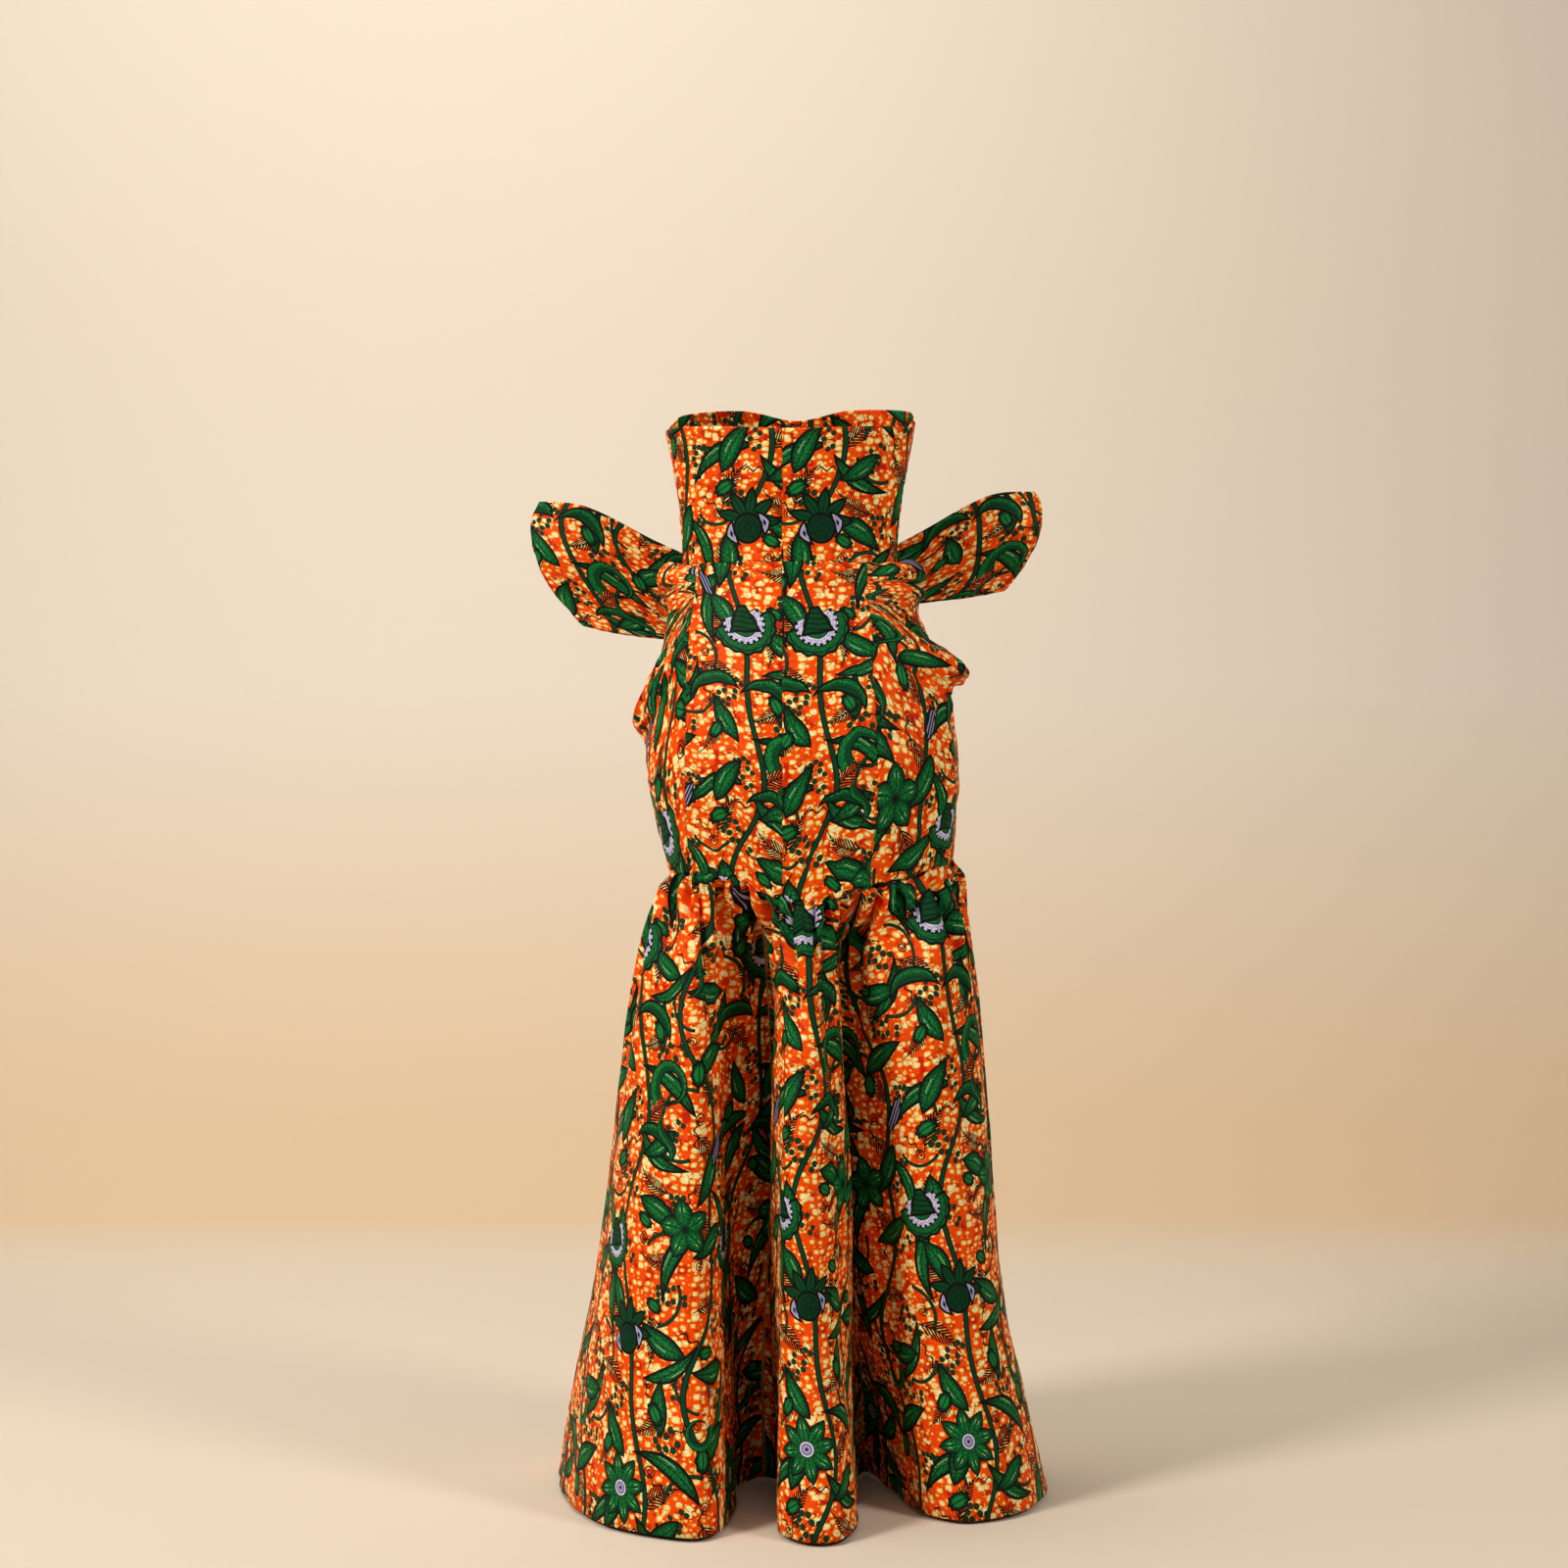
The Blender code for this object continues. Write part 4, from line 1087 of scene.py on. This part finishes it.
FRONT_HEM = (  # x and y, on from the right side seam
    (0.286, 0.085), (0.248, 0.165), (0.196, 0.198), (0.166, 0.172), (0.152, 0.112), (0.134, 0.088),
    (0.116, 0.118), (0.100, 0.190), (0.056, 0.238), (-0.004, 0.246), (-0.060, 0.226), (-0.082, 0.160),
    (-0.092, 0.092), (-0.110, 0.072), (-0.128, 0.104), (-0.142, 0.172), (-0.184, 0.208), (-0.238, 0.180),
)
BACK_LOBES, BACK_VALLEYS = (5, 14, 23), (9, 19)  # the hem points in their middles
FRONT_LOBES, FRONT_VALLEYS = (3, 9, 16), (6, 13)
BACK_PRINT = ((0.145, 0.005), (0.060, -0.050), (0.038, -0.036))  # the print at each lobe's middle
FRONT_PRINT = ((0.05, 0.0), (0.12, -0.02), (0.17, -0.03))
HALF_FLOUNCE_SEAM, FLOUNCE_LENGTH = 0.43, 0.71
FLARE = (  # how far down, and how far out to the hem on the left and on the right
    (0.00, 0.00, 0.00), (0.08, 0.20, 0.18), (0.19, 0.35, 0.30), (0.32, 0.45, 0.38), (0.50, 0.56, 0.47),
    (0.70, 0.71, 0.59), (0.85, 0.87, 0.79), (1.00, 1.00, 1.00),
)
FLARE_BLEND_WIDTH, FLARE_EASE = 0.24, 1.7
VALLEY_START, VALLEY_FADE, VALLEY_FADED = (0.002, 0.07), (0.25, 0.62), 0.8
TUCK_REACH, TUCK_UP, TUCK_IN = 0.0012, 0.0035, 0.0016
GATHER_RISE, GATHER_DEPTH, GATHER_SWELL = 0.0072, 0.11, 0.035
BACK_GATHERS, FRONT_GATHERS = 21, 19
BACK_TROUGHS, FRONT_TROUGHS = 34, 32
TROUGH_DEEP, TROUGH_REACH, TROUGH_LEAN, TROUGH_HALF = (0.0150, 0.0070), (0.100, 0.060), 0.10, (0.0036, 0.0011)
TROUGH_WIDENS, TROUGH_AT_SEAM, CREST_SHARE, CREST_OFF, SEAM_RISE = 0.09, 0.25, 0.25, 2.4, 0.022
PLEAT_RISE, PLEATS_EACH, PLEAT_LENGTH, PLEAT_REACH = 0.0022, 2.3, 0.10, 0.05
FOLD_RISE, FOLD_COUNT, FOLD_LENGTH, FOLD_START = 0.0050, 24.0, 0.35, (0.05, 0.25)
CREASE_RISE, CREASE_SIZE, END_WIDTH = 0.0012, 0.03, 0.9
HEM_STITCH_UP, HEM_STITCH_DEPTH, HEM_STITCH_WIDTH = 0.014, 0.0008, 0.0025


def through(points, closed=False):
    """A smooth line through the points, in CURVE_STEPS short steps between each two."""
    count, line = len(points), []
    for i in range(count if closed else count - 1):
        places = (i + k if closed else min(max(i + k, 0), count - 1) for k in (-1, 0, 1, 2))
        a, b, c, d = (points[k % count] for k in places)
        gap_in, gap, gap_out = (b - a).length, (c - b).length, (d - c).length
        leave = (c - a) * (gap / max(gap_in + gap, 1e-9))
        arrive = (d - b) * (gap / max(gap + gap_out, 1e-9))
        line += [between(step / CURVE_STEPS, b, leave, c, arrive) for step in range(CURVE_STEPS)]
    return line + [points[0 if closed else -1].copy()]


def walker(line):
    """A function that gives the point at a share of the line's length."""
    lengths = lengths_along(line)

    def at(share):
        goal = min(max(share, 0.0), 1.0) * lengths[-1]
        low, high = 0, len(lengths) - 1
        while high - low > 1:
            middle = (low + high) // 2
            low, high = (middle, high) if lengths[middle] <= goal else (low, middle)
        span = max(lengths[high] - lengths[low], 1e-12)
        return line[low].lerp(line[high], (goal - lengths[low]) / span)

    return at


def gather(across, down, count):
    """How far the gathers stand out: uneven ridges, strongest just under the seam and gone further down."""
    drift = 0.55 * math.sin(2 * math.pi * 2.3 * across + 1.1) + 0.3 * math.sin(2 * math.pi * 5.7 * across)
    ridge = 0.5 - 0.5 * math.cos(2 * math.pi * (count * across + drift))
    strength = 0.68 + 0.32 * math.sin(2 * math.pi * 3.4 * across + 2.0)
    reach = GATHER_DEPTH * (1.0 + 0.5 * math.sin(2 * math.pi * 4.1 * across + 0.6))
    swell = (0.12 + 0.88 * min(down / GATHER_SWELL, 1.0)) * math.exp(-down / reach)
    at_ends = min(1.0, 12.0 * across, 12.0 * (1.0 - across))
    return GATHER_RISE * ridge * strength * swell * at_ends


def flounce_place(start, hem_line, gathers, valleys):
    """Half of the flounce from the seam to the hem. A valley is its share of the width, its half width
    and how far it is drawn in, and it fades towards the hem."""
    hem_at = walker(hem_line)
    hem_length = lengths_along(hem_line)[-1]

    def place(across, down):
        down = down**FLARE_EASE
        angle = start + 180.0 * short_of_seam(across, HALF_FLOUNCE_SEAM)
        seam_height = seam_line(angle) + SEAM_GAP
        upper = skin(angle, seam_height, gather(across, down, gathers))
        lower = hem_at(short_of_seam(across, hem_length))
        rightness = ramp(0.5 + lower.x / FLARE_BLEND_WIDTH, 0.0, 1.0)
        left, right = smooth(FLARE, down, 1), smooth(FLARE, down, 2)
        point = upper.lerp(lower, left + (right - left) * rightness)
        point.z = seam_height + (HEM - seam_height) * down
        depth = FLOUNCE_LENGTH * down
        tucked = math.exp(-depth / TUCK_REACH)
        point.z += TUCK_UP * tucked
        inward = Vector((-point.x, -point.y, 0.0)).normalized()
        width = HALF_FLOUNCE_SEAM * (1.0 + 2.4 * ramp(depth, 0.0, 0.62))
        drawn = 0.0
        for at, half_width, drawn_in in valleys:
            off = (across - at) * width / half_width
            drawn += drawn_in * math.exp(-(off**4)) * ramp(depth, *VALLEY_START)
        drawn *= 1.0 - VALLEY_FADED * ramp(depth, *VALLEY_FADE)
        return point + inward * (TUCK_IN * tucked + drawn)

    return place


def lobes_laid_out(lobes, valleys):
    """Cloth coordinates for gathered cloth: true to size in each lobe, with the fullness in the valleys.
    A lobe is its share of the width and the print's place at its middle on the hem."""

    def coordinates(table):
        last = len(table[0]) - 1
        middle = last // 2
        result, up = [], lengths_along([row[middle] for row in table])[-1]
        for j, row in enumerate(table):
            if j:
                up -= (row[middle] - table[j - 1][middle]).length
            along, line = lengths_along(row), []
            for i, s in enumerate(along):
                centre_share, print_u, print_v = lobes[sum(i / last > w for w in valleys)]
                line.append((print_u + s - along[round(centre_share * last)], print_v + up))
            result.append(line)
        return result

    return coordinates


def flounce_relief(seed, count):
    """Gathers under the seam: troughs of uneven depth, slant and length, each with a crest beside it, and
    soft folds below them. They swell out from under the skirt's edge."""
    troughs = []
    for k in range(count):
        at = (k + 0.5 + 0.42 * math.sin(k * 2.7 + seed)) / count
        deep = TROUGH_DEEP[0] + TROUGH_DEEP[1] * math.sin(k * 1.9 + seed)
        reach = TROUGH_REACH[0] + TROUGH_REACH[1] * math.sin(k * 3.3 + 2.0 * seed)
        lean = TROUGH_LEAN * math.sin(k * 4.1 + seed)
        half = TROUGH_HALF[0] + TROUGH_HALF[1] * math.sin(k * 2.2)
        troughs.append((at, deep, reach, lean, half))

    def relief(across, down, u, v):
        depth = down**FLARE_EASE * FLOUNCE_LENGTH
        nearest = int(across * count)
        spread = HALF_FLOUNCE_SEAM * (1.0 + 2.2 * ramp(depth, 0.0, 0.5))
        rise = ramp(depth, 0.0, SEAM_RISE)
        move = 0.0
        for at, deep, reach, lean, half in troughs[max(nearest - 2, 0):nearest + 3]:
            off = (across - at) * spread - lean * depth
            wide = half * (1.0 + depth / TROUGH_WIDENS)
            fade = bump_at(depth, reach)
            move -= deep * bump_at(off, wide) * fade * (TROUGH_AT_SEAM + (1.0 - TROUGH_AT_SEAM) * rise)
            move += CREST_SHARE * deep * bump_at(off - CREST_OFF * wide, wide) * fade * rise
        pleat = noise.noise(Vector((across * count * PLEATS_EACH, depth / PLEAT_LENGTH, seed)))
        move += PLEAT_RISE * pleat * math.exp(-depth / PLEAT_REACH) * rise
        fold = noise.noise(Vector((across * FOLD_COUNT, depth / FOLD_LENGTH, seed + 2)))
        move += FOLD_RISE * fold * ramp(depth, *FOLD_START)
        move += CREASE_RISE * ripple(u, v * 0.6, seed + 4, CREASE_SIZE)
        move += seam_edge(depth) + seam_edge(across * END_WIDTH) + seam_edge((1.0 - across) * END_WIDTH)
        stitch_off = FLOUNCE_LENGTH - depth - HEM_STITCH_UP
        return move - HEM_STITCH_DEPTH * bump_at(stitch_off, HEM_STITCH_WIDTH)

    return relief


def share_of(line, indices):
    """Where the hem's corners of these numbers lie, as shares of the line's length."""
    lengths = lengths_along(line)
    return [lengths[i * CURVE_STEPS] / lengths[-1] for i in indices]


def lobe_rows(line, indices, prints):
    """Each lobe's share of the width with its place on the print."""
    return [(share, u, v) for share, (u, v) in zip(share_of(line, indices), prints)]


hem = through([Vector((x, y, HEM)) for x, y in BACK_HEM + FRONT_HEM], closed=True)
turned = (len(BACK_HEM) - 1) * CURVE_STEPS
back_line, front_line = hem[: turned + 1], hem[turned:]
left_seam = centre_back_angle(FLOUNCE_SEAM[0][1]) - SIDE_TURN
first, second = share_of(back_line, BACK_VALLEYS)
third, fourth = share_of(front_line, FRONT_VALLEYS)
back_valleys = [(first, 0.036, 0.036), (second + 0.022, 0.046, 0.036)]
front_valleys = [(third, 0.026, 0.020), (fourth, 0.026, 0.020)]
piece = cloth("flounce_back", 460, 94, flounce_place(left_seam, back_line, BACK_GATHERS, back_valleys),
              flounce_relief(101, BACK_TROUGHS),
              lobes_laid_out(lobe_rows(back_line, BACK_LOBES, BACK_PRINT), (first, second)))
piece = cloth("flounce_front", 320, 94,
              flounce_place(left_seam + 180.0, front_line, FRONT_GATHERS, front_valleys),
              flounce_relief(131, FRONT_TROUGHS),
              lobes_laid_out(lobe_rows(front_line, FRONT_LOBES, FRONT_PRINT), (third, fourth)))

# The bow on the front, just under the waist: two wings, each a stiffened loop of the printed cotton folded
# back on itself and pinched in pleats at its root, and the knot, a band round their middle
KNOT_LEVEL, KNOT_SQUARENESS = -0.050, 5.0
KNOT_HALF_WIDTH, KNOT_HALF_HEIGHT, KNOT_HALF_DEPTH = 0.017, 0.0234, 0.0130
KNOT_BARREL, KNOT_CREASE = 0.12, 0.0006
WING_PLAN = (  # share of the wing's length and y, round the loop
    (0.000, -0.0040), (0.060, -0.0048), (0.200, -0.0150), (0.500, -0.0260), (0.800, -0.0250),
    (0.960, -0.0130), (1.000, 0.0000), (0.960, 0.0130), (0.800, 0.0240), (0.500, 0.0250), (0.200, 0.0150),
    (0.060, 0.0048), (0.000, 0.0040),
)
WING_EDGES = {  # share of the wing's length, and the heights of its top and bottom edges
    "left": (
        (0.00, -0.0292, -0.0708), (0.03, -0.0292, -0.0708), (0.07, -0.0288, -0.0712),
        (0.22, -0.0030, -0.0780), (0.52, 0.0370, -0.0800), (0.80, 0.0780, -0.0740), (1.00, 0.0860, -0.0650),
    ),
    "right": (
        (0.00, -0.0292, -0.0708), (0.03, -0.0292, -0.0708), (0.07, -0.0288, -0.0708),
        (0.22, 0.0010, -0.0600), (0.52, 0.0480, -0.0390), (0.80, 0.0910, -0.0300), (1.00, 0.0980, -0.0230),
    ),
}
WING_REACH = {  # how far down, and the x of the wing's end
    "left": (
        (0.00, 0.304), (0.15, 0.312), (0.40, 0.308), (0.70, 0.289), (1.00, 0.250),
    ),
    "right": (
        (0.00, 0.297), (0.12, 0.304), (0.40, 0.302), (0.70, 0.287), (1.00, 0.260),
    ),
}
WING_ROOT, WING_LENGTH = 0.006, 0.3
WING_PLEATS, WING_PLEAT_RISE, WING_PLEAT_REACH = 5, 0.0012, 0.30
WING_WAVE, WING_SWEEP = 0.007, 0.014
WINGS = {"left": (151, 0.02), "right": (163, 0.15)}  # seed of the creases and place on the print


def bow_middle():
    """How far forward the bow's middle lies, with the knot resting on the front of the skirt."""
    seats = []
    for share in (0.0, 0.2, 0.4, 0.6, 0.8, 0.95):
        depth = KNOT_HALF_DEPTH * (1.0 - share**KNOT_SQUARENESS) ** (1.0 / KNOT_SQUARENESS)
        seats.append(skin(180.0, KNOT_LEVEL - share * KNOT_HALF_HEIGHT).y + depth)
    return max(seats) + SEAM_GAP


def wing_place(side):
    """A wing, out along its back layer and in along its front layer."""
    outward = 1.0 if side == "right" else -1.0
    plan_at = walker(through([Vector((row[0] * WING_LENGTH, row[1], 0.0)) for row in WING_PLAN]))
    middle_y = bow_middle()

    def place(across, down):
        along = across if side == "right" else 1.0 - across
        closer_at_folds = math.sin(4 * math.pi * along) / (8 * math.pi)
        plan = plan_at(along - closer_at_folds)
        share = min(max(plan.x / WING_LENGTH, 0.0), 1.0)
        reach = smooth(WING_REACH[side], down, 1)
        top, bottom = smooth(WING_EDGES[side], share, 1), smooth(WING_EDGES[side], share, 2)
        layer = -1.0 if along < 0.5 else 1.0
        near_knot = math.exp(-share / WING_PLEAT_REACH)
        pleat = layer * WING_PLEAT_RISE * near_knot * math.cos(2 * math.pi * WING_PLEATS * down)
        wave = WING_WAVE * share * share * math.sin(2 * math.pi * (1.4 * down + 0.15))
        x = outward * (WING_ROOT + (reach - WING_ROOT) * share)
        y = middle_y + plan.y + pleat + wave - WING_SWEEP * share * share
        return Vector((x, y, top + (bottom - top) * down))

    return place


def knot_place(across, down):
    turn = 2 * math.pi * across
    back, up = math.cos(turn), math.sin(turn)
    square = (abs(back) ** KNOT_SQUARENESS + abs(up) ** KNOT_SQUARENESS) ** (-1 / KNOT_SQUARENESS)
    x = KNOT_HALF_WIDTH * (2.0 * down - 1.0) * (1.0 + KNOT_BARREL * back)
    y = bow_middle() - KNOT_HALF_DEPTH * square * back
    return Vector((x, y, KNOT_LEVEL + KNOT_HALF_HEIGHT * square * up))


def knot_relief(across, down, u, v):
    return KNOT_CREASE * ripple(u, v, 171, 0.008)


for side, (seed, print_across) in WINGS.items():
    piece = cloth(f"bow_wing_{side}", 220, 64, wing_place(side),
                  panel_relief(0.6, 0.12, seed, crease=0.0012, side_seams=False),
                  laid_out(0.5, (print_across, 0.560)))
piece = cloth("bow_knot", 96, 20, knot_place, knot_relief, laid_out(0.5, (0.05, 0.10)), joined=True)

# The concealed zip at the centre back: its woven tape, which is sewn behind the seam, and its dull brass
# slider at the top. Both keep their solids' shapes and get their own finish.
GRAIN_DETAIL, GRAIN_HEIGHT = 2.0, 0.0003


def plain(name, colour, roughness, metal, scale, bumps):
    """A plain material with a fine grain."""
    material, tree, shader = new_material(name)
    shader.inputs["Base Color"].default_value = colour
    shader.inputs["Roughness"].default_value = roughness
    shader.inputs["Metallic"].default_value = metal
    grained(tree, scale, GRAIN_DETAIL, bumps, GRAIN_HEIGHT)
    return material


for slot in bpy.data.objects["back_zip"].material_slots:
    slot.material = plain("zip_tape_woven", (0.030, 0.014, 0.010, 1.0), 0.75, 0.0, 900.0, 0.3)
for slot in bpy.data.objects["zip_slider"].material_slots:
    slot.material = plain("slider_dull_brass", (0.30, 0.20, 0.09, 1.0), 0.38, 1.0, 300.0, 0.15)
